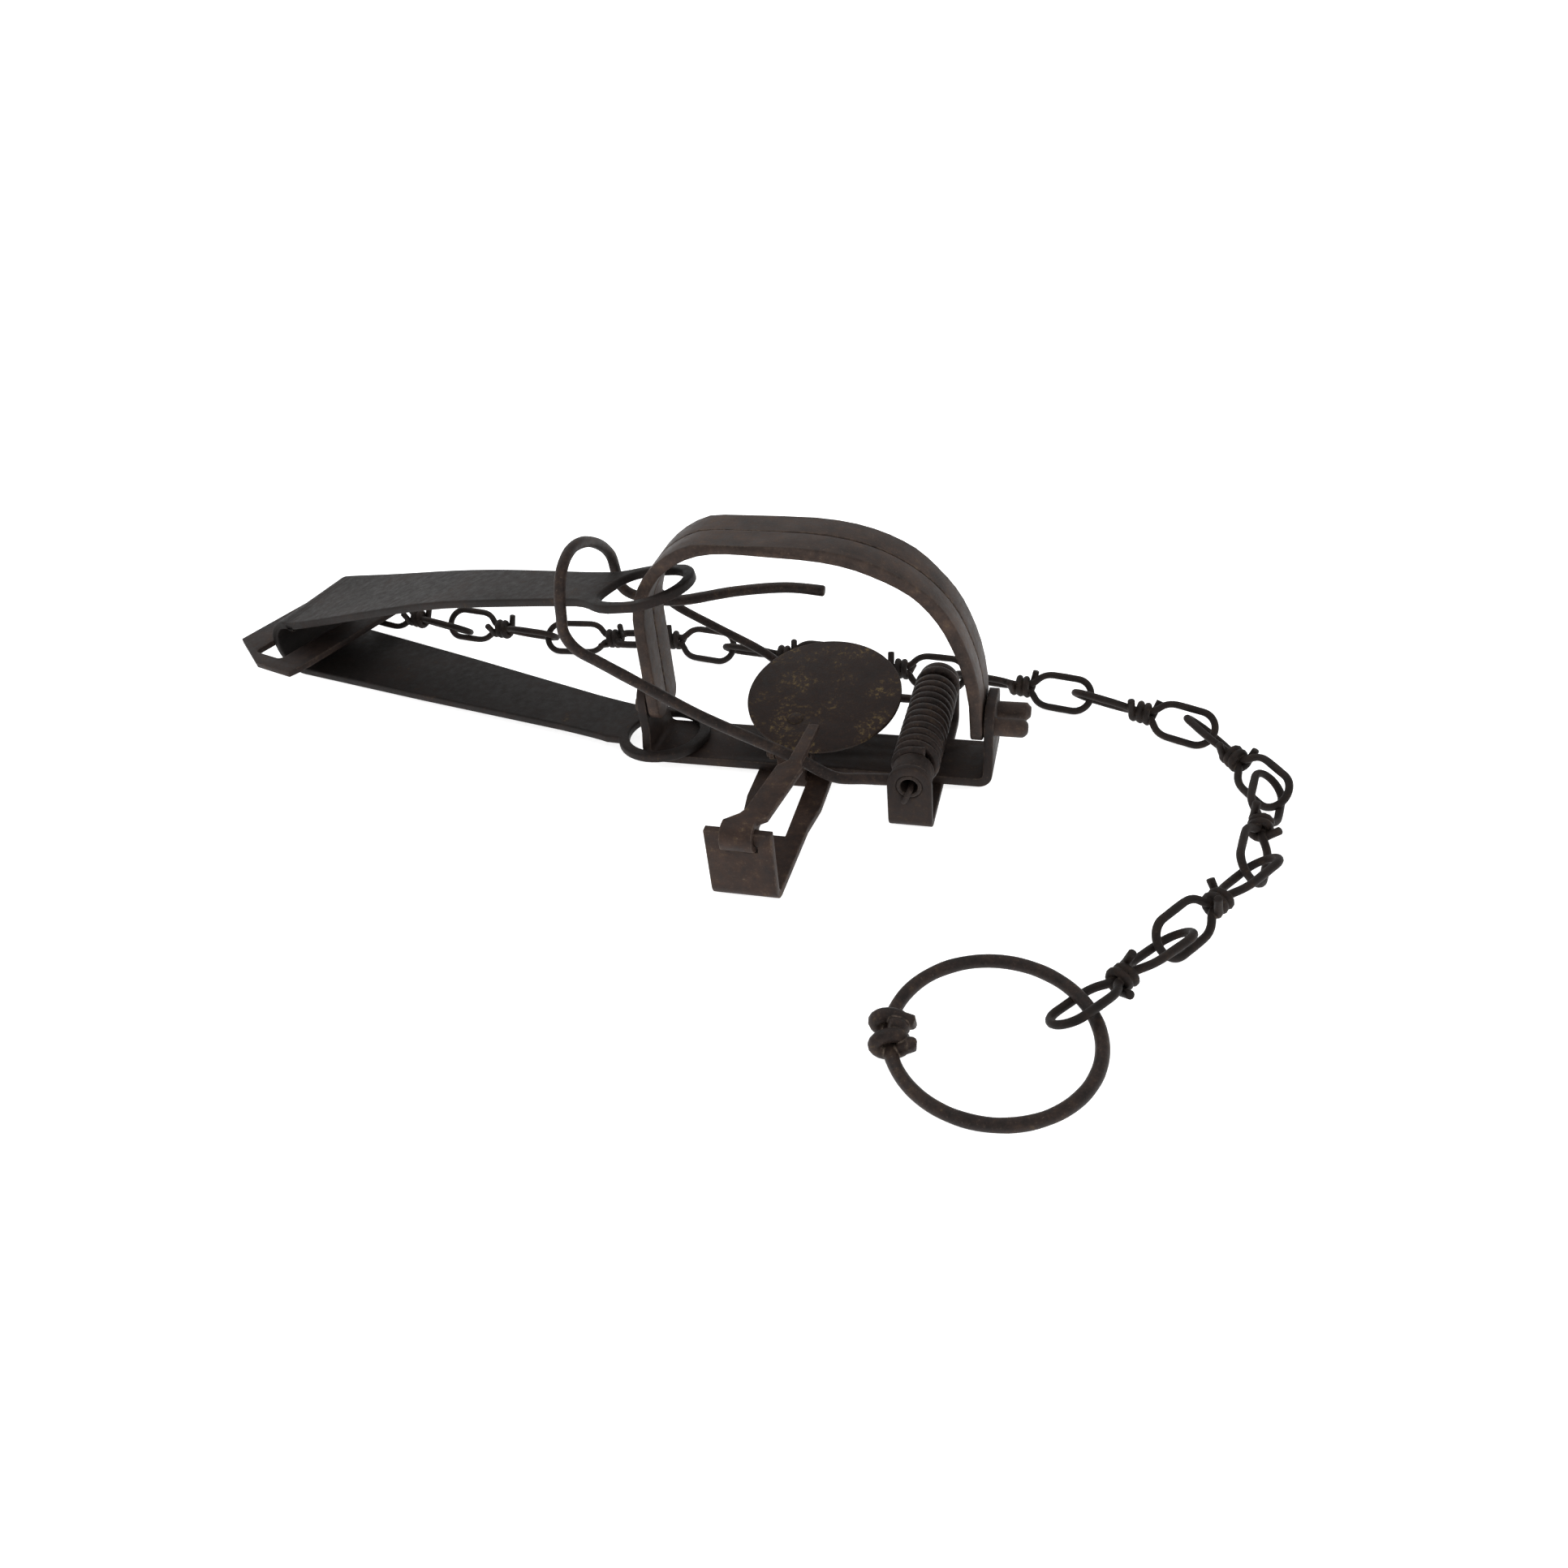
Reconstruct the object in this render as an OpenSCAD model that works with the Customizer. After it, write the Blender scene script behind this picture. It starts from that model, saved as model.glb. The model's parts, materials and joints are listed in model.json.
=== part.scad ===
// Single long-spring foothold trap, sprung, with wire guard, lock-link chain and end ring.
// Millimetres. +X runs from the spring's bend towards the right-hand post, +Y to the back,
// +Z up. The origin is on the table, close to the middle of the base strip.

/* [Base] */
// Distance over the outer faces of the two posts
spread = 103; // [94:1:116]
// Width of the base strip between the posts
strip_w = 19; // [18:0.5:24]
// Thickness of the base strip and its posts
strip_t = 2.6; // [2:0.1:3.2]
// Width of each post
post_w = 16.4; // [16.4:0.1:18]
// Height of a post over the underside of the base strip
post_h = 24; // [23:0.5:28]
// Outer radius where the strip bends up into a post
bend_r = 4; // [3.5:0.1:5]
// Thickness of the cross and the coil bracket, which lie under the base strip
cross_t = 2.2; // [1.8:0.1:2.6]

/* [Jaws] */
// Height of the jaw pivots over the base strip's underside
pivot_up = 17; // [16.5:0.1:18]
// Distance of each jaw pivot from the middle plane
pivot_y = 4.2; // [4.2:0.05:4.4]
// Width of a jaw, front to back
jaw_w = 8; // [7:0.1:8]
// Thickness of a jaw across its arch
jaw_t = 3.4; // [2.8:0.1:3.6]
// Height of the arch over the pivots
arch_h = 54; // [50:0.5:54]
// Place of the arch's crown along the base
crown_x = -6; // [-10:0.5:0]
// Straight length of the jaws' left legs, over the pivot
leg_up = 25; // [20:0.5:30]
// Diameter of the jaw tips that turn in the posts
tip_d = 5.2; // [4.6:0.1:5.4]
// How far the tips stand out of the right-hand post
tip_out = 9; // [4:0.5:10]
// How far the tips stand out of the left-hand post, inside the spring's eyes
tip_out_left = 1.4; // [0.8:0.1:1.5]
// Angle through which each jaw opens
jaw_open = 90; // [86:1:92]

/* [Long spring] */
// Distance of the spring's bend from the eyes round the left-hand post
spring_l = 147.5; // [140:0.5:156]
// Angle that the spring is swung back from the base strip
spring_yaw = 17.2; // [11:0.1:18]
// Thickness of the spring strip
leaf_t = 2.5; // [2:0.1:2.8]
// Half width of the strip at the bend
bend_half = 15.6; // [14:0.2:17]
// Half width of the strip at the neck of the eyes
neck_half = 9.3; // [8:0.1:10]
// Outer radius of the eyes
eye_r = 14; // [13.6:0.1:14.4]
// Radius of the holes in the eyes
eye_hole_r = 10.8; // [10.7:0.05:11]
// Outer radius of the spring's bend
fold_r = 12; // [11:0.5:12.5]
// Height of the upper eye's mid-thickness over the table
eye_up = 55.5; // [54:0.5:56]

/* [Dog and cross] */
// Distance of the dog bracket's inner face in front of the middle plane
bracket_y = 61.3; // [61.3:0.1:66]
// Width of the dog bracket's face
bracket_w = 17.5; // [16:0.5:20]
// Height of the dog bracket over the table
bracket_h = 22.2; // [21.4:0.1:23]
// Middle of the cross along the base
cross_x = -3.6; // [-5:0.1:-3]
// Width of the dog's rolled end
dog_w = 8.4; // [8:0.1:9]
// Thickness of the dog
dog_t = 1.6; // [1.3:0.1:1.7]

/* [Pan] */
// Diameter of the pan
pan_d = 44.8; // [40:0.2:46]
// Thickness of the pan
pan_t = 1.2; // [1:0.1:1.4]
// Height of the pan's underside over the table when the pan is level
pan_z = 15.45; // [15.45:0.05:16]
// Place of the pan's middle
pan_x = 3; // [0:0.5:3]
pan_y = 6.5; // [6:0.5:8]
// Angle by which the pan's far edge is up
pan_rise = 13; // [8:1:14]
// Diameter of the pan's hinge pin
pan_pin_d = 2.6; // [2:0.1:2.8]

/* [Guard and coil] */
// Place of the coil's axis along the base
coil_x = 33.2; // [32:0.1:34]
// Height of the coil's axis over the table
coil_z = 14.5; // [14:0.1:15]
// Diameter of the coil's wire
coil_wire = 2.6; // [2.2:0.1:2.6]
// Mean radius of the coil
coil_r = 5.3; // [5.2:0.05:5.5]
// Distance from turn to turn
coil_pitch = 3.1; // [3.05:0.01:3.15]
// Number of turns
coil_turns = 12.5; // [10.5:1:12.5]
// Diameter of the guard's wire
guard_wire_d = 3.2; // [2.8:0.1:3.3]
// Width of the coil bracket
lug_w = 12; // [11:0.5:13]

/* [Chain] */
// Diameter of the chain's wire
link_wire = 2.1; // [1.8:0.1:2.2]
// Reach of a link's loop from the middle of its knot
link_reach = 22.1; // [22:0.05:22.2]
// Distance between the two wires of a loop
loop_gap = 9.8; // [9.6:0.1:10]
// Outer diameter of the end ring
ring_d = 50; // [49:0.5:51]
// Diameter of the end ring's wire
ring_wire = 3.2; // [2.8:0.1:3.4]

/* [Hidden] */
$fn = 40;
fit = 0.08;                       // radial clearance of a pin that turns
gap = 0.3;                        // clearance between neighbours that move
bed = cross_t;                    // underside of the base strip
strip_top = bed + strip_t;
pivot_z = bed + pivot_up;
post_l = spread * 50 / 103;        // outer face of the left-hand post
post_r = spread - post_l;         // outer face of the right-hand post
leg_l = post_l - strip_t - 0.4;    // outer faces of the jaws' legs
leg_r = post_r - strip_t - 0.4;
tip_r = tip_d / 2;
foot_r = min(jaw_w / 2, pivot_y - 0.2);
steel = "#3b302c";
dark = "#2c2624";
bright = "#4a403b";

// Spring frame: local x runs from the eyes to the bend, at the spring's own angle
dir_u = [-cos(spring_yaw), sin(spring_yaw)];
dir_v = [sin(spring_yaw), cos(spring_yaw)];
eye_x = 3.8 - post_l;
eye_y = -0.4;
fold_z = fold_r;                               // axis of the bend
press_z = 2 * fold_r - leaf_t / 2;             // axis of the upper leaf's flexing
press_x = spring_l - leaf_t / 2 - 0.25;
upper_eye_x = -2.6;
upper_rise = atan((eye_up - press_z) / (press_x - upper_eye_x));
eye_gap = 0.15;                                // lower eye over the strip
lower_rise = asin((strip_top + eye_gap) / spring_l);

// Dog hinge
hinge_y = -bracket_y - cross_t / 2;
roll_in = 2.2;
roll_out = roll_in + dog_t;
bar_half = 1.7;                   // half height of the bar that the dog is rolled round
hinge_z = bracket_h - bar_half;
dog_x = cross_x + 0.2;

// Pan hinge, under the pan's near edge
pan_hinge_y = -12;
pan_hinge_z = 11.3;
tongue_w = 8;
curl_r = pan_pin_d / 2 + 1.1;

// Coil bracket and coil
tube_r = coil_r - coil_wire / 2 - 0.55;
coil_len = coil_pitch * coil_turns;
coil_y0 = -coil_len / 2;
eye_turn_y = coil_len / 2 + coil_wire / 2 + guard_wire_d / 2 + gap;
lug_near = coil_y0 - 7;                        // inner face of the near lug
lug_far = eye_turn_y + coil_wire / 2 + 0.32;   // inner face of the far lug

// Chain plate, which hangs round the spring's bend
plate_t = 2;
slot_w = 13.6;
slot_end = spring_l + fold_r + gap;        // the slot's edge, close to the outside of the bend
plate_z = fold_z - 2;

// The first link is hooked over the plate's inner bar
hook_r = link_reach - link_wire / 2;           // from a knot to the middle of the end's wire
start_end = [eye_x, eye_y] + (slot_end - slot_w + link_wire / 2 + 0.8) * dir_u + (bend_half + 3) * dir_v;
// Knots of the chain's links, from the chain plate to the end ring
second = [-127.4, 55.2];
knots = [start_end + hook_r * (second - start_end) / norm(second - start_end), second, [-84.6, 56.2],
    [-62.2, 57.4], [-22, 50.3], [17.6, 47.3], [56.9, 42.2], [95.5, 30.5], [123, 14.5], [128.5, -21.5],
    [112, -54.5], [89.4, -80.5]];
ring_c = [63.8, -101.6];
// The links lean over, so that one loop of each shows its face and the other its edge
lean = 50;
rest_z = loop_gap / 2 * sin(lean) + link_wire / 2 + 0.15;
eye_more = 3.1;                                // how much longer the swivel's loops are
stem_more = 1.1;
start_z = plate_z + plate_t / 2 + gap + link_wire / 2 - loop_gap / 2 * sin(lean) + 1.95;
end_z = rest_z - 0.5;                          // height of the first link's other end

// ---- helpers ------------------------------------------------------------------------

function unit(v) = v / norm(v);
function unit2(v) = v / norm(v);
function mid(a, b) = (a + b) / 2;
function heading(a, b) = atan2(b[1] - a[1], b[0] - a[0]);

// Frames carried along a path without twist: each is [tangent, normal]
function tangents(p) = let (n = len(p)) [for (i = [0:n - 1])
    unit(p[min(i + 1, n - 1)] - p[max(i - 1, 0)])];
function carried(t, i, acc) = i >= len(t) ? acc :
    let (last = acc[i - 1], v = last - (last * t[i]) * t[i]) carried(t, i + 1, concat(acc, [unit(v)]));
function normals(t) = let (a = abs(t[0][2]) < 0.9 ? [0, 0, 1] : [1, 0, 0])
    carried(t, 1, [unit(a - (a * t[0]) * t[0])]);

// Points of a smooth curve through hand-set points
function spline_at(p, i, u) = let (n = len(p), a = p[max(i - 1, 0)], b = p[i], c = p[min(i + 1, n - 1)],
    d = p[min(i + 2, n - 1)]) 0.5 * (2 * b + (c - a) * u + (2 * a - 5 * b + 4 * c - d) * u * u
    + (3 * b - a - 3 * c + d) * u * u * u);
function smooth(p, steps) = concat([for (i = [0:len(p) - 2], k = [0:steps - 1]) spline_at(p, i, k / steps)],
    [p[len(p) - 1]]);

// A tube of flat faces along a path
module tube_along(path, d, sides = 8) {
    n = len(path);
    t = tangents(path);
    u = normals(t);
    points = [for (i = [0:n - 1], k = [0:sides - 1]) let (a = 360 * (k + 0.5) / sides)
        path[i] + d / 2 * (cos(a) * u[i] + sin(a) * cross(t[i], u[i]))];
    walls = [for (i = [0:n - 2], k = [0:sides - 1]) let (a = i * sides + k, b = i * sides + (k + 1) % sides)
        each [[a, b, b + sides], [a, b + sides, a + sides]]];
    caps = [for (k = [1:sides - 2]) each [[0, k + 1, k],
        [(n - 1) * sides, (n - 1) * sides + k, (n - 1) * sides + k + 1]]];
    polyhedron(points, concat([for (f = walls) [f[0], f[2], f[1]]], [for (f = caps) [f[0], f[2], f[1]]]));
}

module along_x(x0, x1, r, r2 = -1) {
    translate([x0, 0, 0]) rotate([0, 90, 0]) cylinder(h = x1 - x0, r1 = r, r2 = r2 < 0 ? r : r2);
}

module along_y(y0, y1, r) {
    translate([0, y0, 0]) rotate([-90, 0, 0]) cylinder(h = y1 - y0, r = r);
}

// Extrudes an outline drawn in x and z over a stretch of y
module slab_y(y0, y1) {
    translate([0, y1, 0]) rotate([90, 0, 0]) linear_extrude(height = y1 - y0) children();
}

// Extrudes an outline drawn in y and z over a stretch of x
module slab_x(x0, x1) {
    translate([x0, 0, 0]) rotate([90, 0, 90]) linear_extrude(height = x1 - x0) children();
}

module spring_frame() {
    translate([eye_x, eye_y, 0]) rotate([0, 0, 180 - spring_yaw]) children();
}

// ---- base ---------------------------------------------------------------------------

module u_outline(inset, low, r) {
    x0 = inset - post_l;
    x1 = post_r - inset;
    translate([x0, low + r]) square([x1 - x0, 100]);
    translate([x0 + r, low]) square([x1 - x0 - 2 * r, r + 1]);
    for (x = [x0 + r, x1 - r]) translate([x, low + r]) circle(r = r);
}

module base_strip() {
    corner = 5;
    shoulder = bed + 9;
    color(steel) difference() {
        intersection() {
            slab_y(-strip_w / 2, strip_w / 2) difference() {
                u_outline(0, bed, bend_r);
                u_outline(strip_t, strip_top, bend_r - strip_t + 0.2);
            }
            slab_x(-post_l - 1, post_r + 1) {
                polygon([[-strip_w / 2, 0], [strip_w / 2, 0], [strip_w / 2, shoulder - 4],
                    [post_w / 2, shoulder], [post_w / 2, bed + post_h - corner],
                    [-post_w / 2, bed + post_h - corner], [-post_w / 2, shoulder],
                    [-strip_w / 2, shoulder - 4]]);
                for (s = [-1, 1]) translate([s * (post_w / 2 - corner), bed + post_h - corner])
                    circle(r = corner);
                translate([corner - post_w / 2, bed + post_h - corner - 1])
                    square([post_w - 2 * corner, corner + 1]);
            }
        }
        for (s = [-1, 1]) translate([0, s * pivot_y, pivot_z]) {
            along_x(-post_l - 1, strip_t + 1 - post_l, tip_r + fit);
            along_x(post_r - strip_t - 1, post_r + 1, tip_r + fit);
        }
        rivet_places() cylinder(h = 20, r = 2.2);
    }
}

module rivet_places() {
    for (p = [[cross_x, -5.2], [cross_x, 5.2], [coil_x, 0]]) translate([p[0], p[1], 0]) children();
}

module base_rivets() {
    color(dark) rivet_places() {
        translate([0, 0, 0.2]) cylinder(h = strip_top - 0.2, r = 2.15);
        translate([0, 0, strip_top]) intersection() {
            translate([0, 0, -3.4]) sphere(r = 4.9);
            cylinder(h = 3, r = 4);
        }
    }
}

// ---- cross with the dog bracket and the pan's tongue ---------------------------------

module cross_plan() {
    front = -bracket_y - cross_t;
    polygon([[cross_x + bracket_w / 2, front], [cross_x + bracket_w / 2 + 0.6, -48], [cross_x + 9.6, -34],
        [cross_x + 11, -24], [cross_x + 11, 9], [cross_x + 7, 13], [cross_x - 7, 13], [cross_x - 11, 9],
        [cross_x - 11, -22], [cross_x - 9.4, -34], [cross_x - bracket_w / 2, -48],
        [cross_x - bracket_w / 2, front]]);
}

module dog_cross() {
    front = bracket_y + cross_t;
    r = 4;
    slot_low = hinge_z - roll_out - 0.3;
    color(steel) difference() {
        union() {
            intersection() {
                slab_x(cross_x - 20, cross_x + 20) difference() {
                    union() {
                        translate([r - front, 0]) square([front + 20, cross_t]);
                        translate([-front, r]) square([cross_t, bracket_h - r]);
                        translate([r - front, r]) circle(r = r);
                    }
                    translate([r - front, r]) circle(r = r - cross_t);
                    translate([cross_t - front, r]) square([20, bracket_h]);
                    translate([r - front, cross_t]) square([front + 30, bracket_h]);
                }
                linear_extrude(height = bracket_h) cross_plan();
            }
            // tongue that is cut from the cross and bent up, rolled round the pan's pin
            intersection() {
                slab_x(cross_x - tongue_w / 2, cross_x + tongue_w / 2) {
                    translate([pan_hinge_y - cross_t / 2, 0]) square([cross_t, pan_hinge_z - 1.6]);
                    translate([pan_hinge_y, pan_hinge_z]) circle(r = curl_r);
                }
                translate([cross_x - 10, -40, 0]) cube([20, 60, pan_hinge_z + 10]);
            }
        }
        translate([cross_x - tongue_w / 2 - 0.4, pan_hinge_y - cross_t / 2 - 25.5, -1])
            cube([tongue_w + 0.8, 25.5, cross_t + 2]);
        translate([0, pan_hinge_y, pan_hinge_z]) along_x(cross_x - 20, cross_x + 20, pan_pin_d / 2 + fit);
        translate([dog_x - dog_w / 2 - 0.6, -front - 1, slot_low])
            cube([dog_w + 1.2, cross_t + 2, hinge_z - bar_half - slot_low]);
        rivet_places() translate([0, 0, -1]) cylinder(h = 5, r = 2.2);
    }
}

// ---- coil bracket ---------------------------------------------------------------------

module coil_bracket() {
    top_r = lug_w / 2;
    r = 3.4;
    y0 = lug_near - cross_t;
    y1 = lug_far + cross_t;
    color(steel) difference() {
        intersection() {
            slab_x(coil_x - top_r, coil_x + top_r) difference() {
                union() {
                    translate([y0, r]) square([y1 - y0, 40]);
                    translate([y0 + r, 0]) square([y1 - y0 - 2 * r, r + 1]);
                    for (y = [y0 + r, y1 - r]) translate([y, r]) circle(r = r);
                }
                translate([lug_near, r]) square([lug_far - lug_near, 60]);
                translate([y0 + r, cross_t]) square([y1 - y0 - 2 * r, r + 1]);
                for (y = [y0 + r, y1 - r]) translate([y, r]) circle(r = r - cross_t);
            }
            slab_y(y0 - 1, y1 + 1) {
                translate([coil_x - top_r, -1]) square([lug_w, coil_z + 1]);
                translate([coil_x, coil_z]) circle(r = top_r);
            }
        }
        translate([coil_x, 0, coil_z]) along_y(y0 - 1, y1 + 1, tube_r + 0.05);
        rivet_places() translate([0, 0, -1]) cylinder(h = 5, r = 2.2);
    }
}

module coil_tube() {
    y0 = lug_near - cross_t;
    y1 = lug_far + cross_t;
    color(dark) translate([coil_x, 0, coil_z]) difference() {
        along_y(y0, y1, tube_r);
        along_y(y0 - 1, y1 + 1, tube_r - 1.1);
    }
}

// ---- jaws -----------------------------------------------------------------------------

// One quarter of a superellipse, from its side to its top
function quarter(half, high, power, steps) = [for (i = [0:steps]) let (a = 90 * i / steps)
    [half * pow(cos(a), 2 / power), high * pow(sin(a), 2 / power)]];

module arch(half_l, half_r, high, inset) {
    left = [for (p = quarter(half_l - inset, high - leg_up - inset, 2.4, 14)) [crown_x - p[0], leg_up + p[1]]];
    right = [for (p = quarter(half_r - inset, high - inset, 2.7, 18)) [crown_x + p[0], p[1]]];
    polygon(concat([[inset - half_l + crown_x, -20]], left, [for (i = [len(right) - 2:-1:0]) right[i]],
        [[half_r - inset + crown_x, -20]]));
}

// A jaw with its outer face towards -y; above the spring's eyes it is a little wider
module jaw() {
    half_l = leg_l + crown_x;
    half_r = leg_r - crown_x;
    flare = 1.4;
    flare_from = eye_up + 4.5 - pivot_z;
    intersection() {
        slab_y(-jaw_w, jaw_w) difference() {
            arch(half_l, half_r, arch_h, 0);
            arch(half_l, half_r, arch_h, jaw_t);
        }
        slab_x(-spread, spread) {
            circle(r = foot_r);
            polygon([[-foot_r, 0], [foot_r, 0], [foot_r, arch_h + 1], [-foot_r - flare, arch_h + 1],
                [-foot_r - flare, flare_from + 6], [-foot_r, flare_from]]);
        }
    }
    round_end = 1.2;
    along_x(leg_r - jaw_t / 2, post_r + tip_out - round_end, tip_r);
    along_x(post_r + tip_out - round_end, post_r + tip_out, tip_r, tip_r - round_end);
    along_x(-post_l - tip_out_left, jaw_t / 2 - leg_l, tip_r);
}

module jaw_front() {
    color(steel) translate([0, -pivot_y, pivot_z]) jaw();
}

module jaw_back() {
    color(steel) translate([0, pivot_y, pivot_z]) mirror([0, 1, 0]) jaw();
}

// ---- long spring ------------------------------------------------------------------------

// Plan of the strip, from the middle of an eye at 0 to its end
module leaf_plan(end) {
    circle(r = eye_r, $fn = 64);
    polygon([[9, -10.4], [14, -neck_half - 0.4], [20, -neck_half], [34, -neck_half - 0.3],
        [end * 0.62, -bend_half + 2.6], [end, -bend_half], [end, bend_half], [end * 0.62, bend_half - 2.6],
        [34, neck_half + 0.3], [20, neck_half], [14, neck_half + 0.4], [9, 10.4]]);
}

module spring_lower_leaf() {
    color(steel) spring_frame() {
        translate([spring_l, 0, 0]) rotate([0, lower_rise, 0]) translate([-spring_l, 0, 0]) difference() {
            linear_extrude(height = leaf_t) leaf_plan(spring_l);
            translate([0, 0, -1]) cylinder(h = leaf_t + 2, r = eye_hole_r, $fn = 64);
        }
        slab_y(-bend_half, bend_half) difference() {
            translate([spring_l, fold_z]) circle(r = fold_r);
            translate([spring_l, fold_z]) circle(r = fold_r - leaf_t);
            translate([spring_l - 20, fold_z]) square([20.05, 40]);
            translate([spring_l - 20.6, -1]) square([20, fold_z + 2]);
        }
    }
}

module spring_upper_leaf() {
    length = (press_x - upper_eye_x) / cos(upper_rise);
    color(steel) spring_frame() translate([press_x, 0, press_z]) {
        rotate([0, upper_rise, 0]) translate([-length, 0, -leaf_t / 2]) difference() {
            linear_extrude(height = leaf_t) leaf_plan(length);
            translate([0, 0, -1]) cylinder(h = leaf_t + 2, r = eye_hole_r, $fn = 64);
        }
        along_y(-bend_half, bend_half, leaf_t / 2);
    }
}

// ---- dog ----------------------------------------------------------------------------------

module dog() {
    reach = -hinge_y - 16.5;
    left = -dog_w / 2;
    translate([dog_x, hinge_y, hinge_z]) color(steel) {
        difference() {
            along_x(-dog_w / 2, dog_w / 2, roll_out);
            along_x(-dog_w, dog_w, roll_in);
        }
        translate([0, 0, roll_out - dog_t]) linear_extrude(height = dog_t)
            polygon([[left, 0], [left, 1.5], [left + 3.4, 4.5], [left + 4.4, 6.3], [left + 7.5, reach * 0.56],
                [left + 10, reach * 0.62], [left + 11.4, reach], [left + 14.3, reach], [left + 13.5, reach * 0.62],
                [left + 14.5, reach * 0.56], [left + 10.9, 3.8], [-left, 1.7], [-left, 0]]);
    }
}

// ---- pan ----------------------------------------------------------------------------------

module pan_raised() {
    translate([0, pan_hinge_y, pan_hinge_z]) rotate([pan_rise, 0, 0]) translate([0, -pan_hinge_y, -pan_hinge_z])
        children();
}

module pan() {
    color("#40352f") pan_raised() translate([pan_x, pan_y, pan_z]) difference() {
        cylinder(h = pan_t, r = pan_d / 2, $fn = 96);
        translate([cross_x + 0.4 - pan_x, -4 - pan_y, -1]) cylinder(h = 5, r = 1.65);
    }
}

module pan_shank() {
    ear_t = 1.4;
    inner = tongue_w / 2 + 0.4;
    under = 1.4;
    color(dark) pan_raised() translate([cross_x, 0, 0]) difference() {
        union() {
            translate([-inner - ear_t, pan_hinge_y - 0.6, pan_z - under])
                cube([2 * (inner + ear_t), 7, under]);
            translate([-4, pan_hinge_y, pan_z - under]) cube([8.8, 13, under]);
            for (s = [-1, 1]) slab_x(s > 0 ? inner : -inner - ear_t, s > 0 ? inner + ear_t : -inner) {
                translate([pan_hinge_y, pan_hinge_z]) circle(r = pan_pin_d / 2 + 1.3);
                polygon([[pan_hinge_y - 0.6, pan_z - 0.2], [pan_hinge_y - pan_pin_d / 2 - 0.9, pan_hinge_z],
                    [pan_hinge_y + pan_pin_d / 2 + 1.2, pan_hinge_z], [pan_hinge_y + 5, pan_z - 0.2]]);
            }
        }
        translate([0, pan_hinge_y, pan_hinge_z]) along_x(-20, 20, pan_pin_d / 2 + 0.02);
        translate([0.4, -4, pan_z - 5]) cylinder(h = 10, r = 1.65);
    }
}

module pan_rivet() {
    color(dark) pan_raised() translate([cross_x + 0.4, -4, 0]) {
        translate([0, 0, pan_z - 1.4 - 0.8]) cylinder(h = 0.8, r = 2.8);
        translate([0, 0, pan_z - 2]) cylinder(h = pan_t + 2.2, r = 1.6);
        translate([0, 0, pan_z + pan_t]) intersection() {
            translate([0, 0, -3.4]) sphere(r = 4.2);
            cylinder(h = 2, r = 2.6);
        }
    }
}

module pan_pin() {
    half = tongue_w / 2 + 0.4 + 1.4;
    color(bright) translate([cross_x, pan_hinge_y, pan_hinge_z]) {
        along_x(-half - 0.8, half + 0.8, pan_pin_d / 2);
        along_x(-half - 0.8, -half, pan_pin_d / 2 + 0.7);
        along_x(half, half + 0.8, pan_pin_d / 2 + 0.7);
    }
}

// ---- guard ----------------------------------------------------------------------------------

function helix_point(t) = let (a = 90 + 360 * t)
    [coil_x + coil_r * cos(a), coil_y0 + coil_pitch * t, coil_z + coil_r * sin(a)];
coil_steps = 8;
coil_path = concat([helix_point(0) + [coil_wire, 0, 0]],
    [for (i = [0:coil_turns * coil_steps]) helix_point(i / coil_steps)],
    [helix_point(coil_turns) + [coil_wire, 0, 0]]);

// Least distance between the skins of two neighbouring turns, measured on the path's points
coil_gap = min([for (i = [0:len(coil_path) - 1], j = [i + coil_steps - 2:1:min(i + coil_steps + 2, len(coil_path) - 1)])
    norm(coil_path[i] - coil_path[j])]) - coil_wire;
echo(least_gap_between_coil_turns = coil_gap);

module guard_coil() {
    color(steel) tube_along(coil_path, coil_wire, 6);
}

module guard_collar() {
    color(steel) translate([coil_x, 0, coil_z]) difference() {
        along_y(lug_near + gap, coil_y0 - coil_wire / 2 - 0.2, coil_r + 0.3);
        along_y(lug_near - 2, 0, tube_r + fit);
        translate([-coil_x, 0, -coil_z]) tube_along(guard_path, guard_wire_d + 0.06, 8);
    }
}

guard_arm = [[28.9, -23.3, 12.7], [20, -24, 12.7], [12, -24.5, 12.9], [3, -24.5, 17.6], [-5, -24, 20.8],
    [-25, -20.8, 27], [-41, -18.4, 33.8], [-54, -17, 40], [-61, -16.3, 43.2], [-64, -16, 48], [-63.6, -16, 54]];
bow_half = 18;
bow_rise = 10;
guard_bow = [for (a = [20:20:160]) [-63.6 + a / 120,
    2 - bow_half * sign(cos(a)) * pow(abs(cos(a)), 0.7), 54 + bow_rise * pow(sin(a), 0.6)]];
guard_tail = [[-62, 20, 53], [-63, 20.2, 47.5], [-59.5, 21, 42], [-52, 21.8, 39.6], [-43, 22, 39.7],
    [-26, 22, 43.4], [-10.7, 22, 45.3], [0.4, 22, 44.7]];
guard_path = smooth(concat(guard_arm, guard_bow, guard_tail), 2);

module guard_frame() {
    color(steel) tube_along(guard_path, guard_wire_d, 8);
}

leg_turn = [for (a = [-80:30:270]) [coil_x + coil_r * cos(a), eye_turn_y, coil_z + coil_r * sin(a)]];
spring_leg = concat(leg_turn, [for (p = [[-6.2, 0.1, 9.2], [-21.2, 0.9, 9.2], [-37.2, 2.1, 10.2],
    [-45.2, 2.6, 14.2], [-54.2, 2.6, 21.6], [-69.2, 2.6, 29.8], [-79.2, 2.6, 35.4], [-83.8, 2.5, 39.6],
    [-85.4, 1.1, 42.8], [-85.5, -1.4, 43.6]]) [coil_x + p[0], eye_turn_y + p[1], p[2]]]);

module guard_spring_leg() {
    color(steel) tube_along(smooth(spring_leg, 2), coil_wire, 8);
}

// ---- chain ----------------------------------------------------------------------------------

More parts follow.
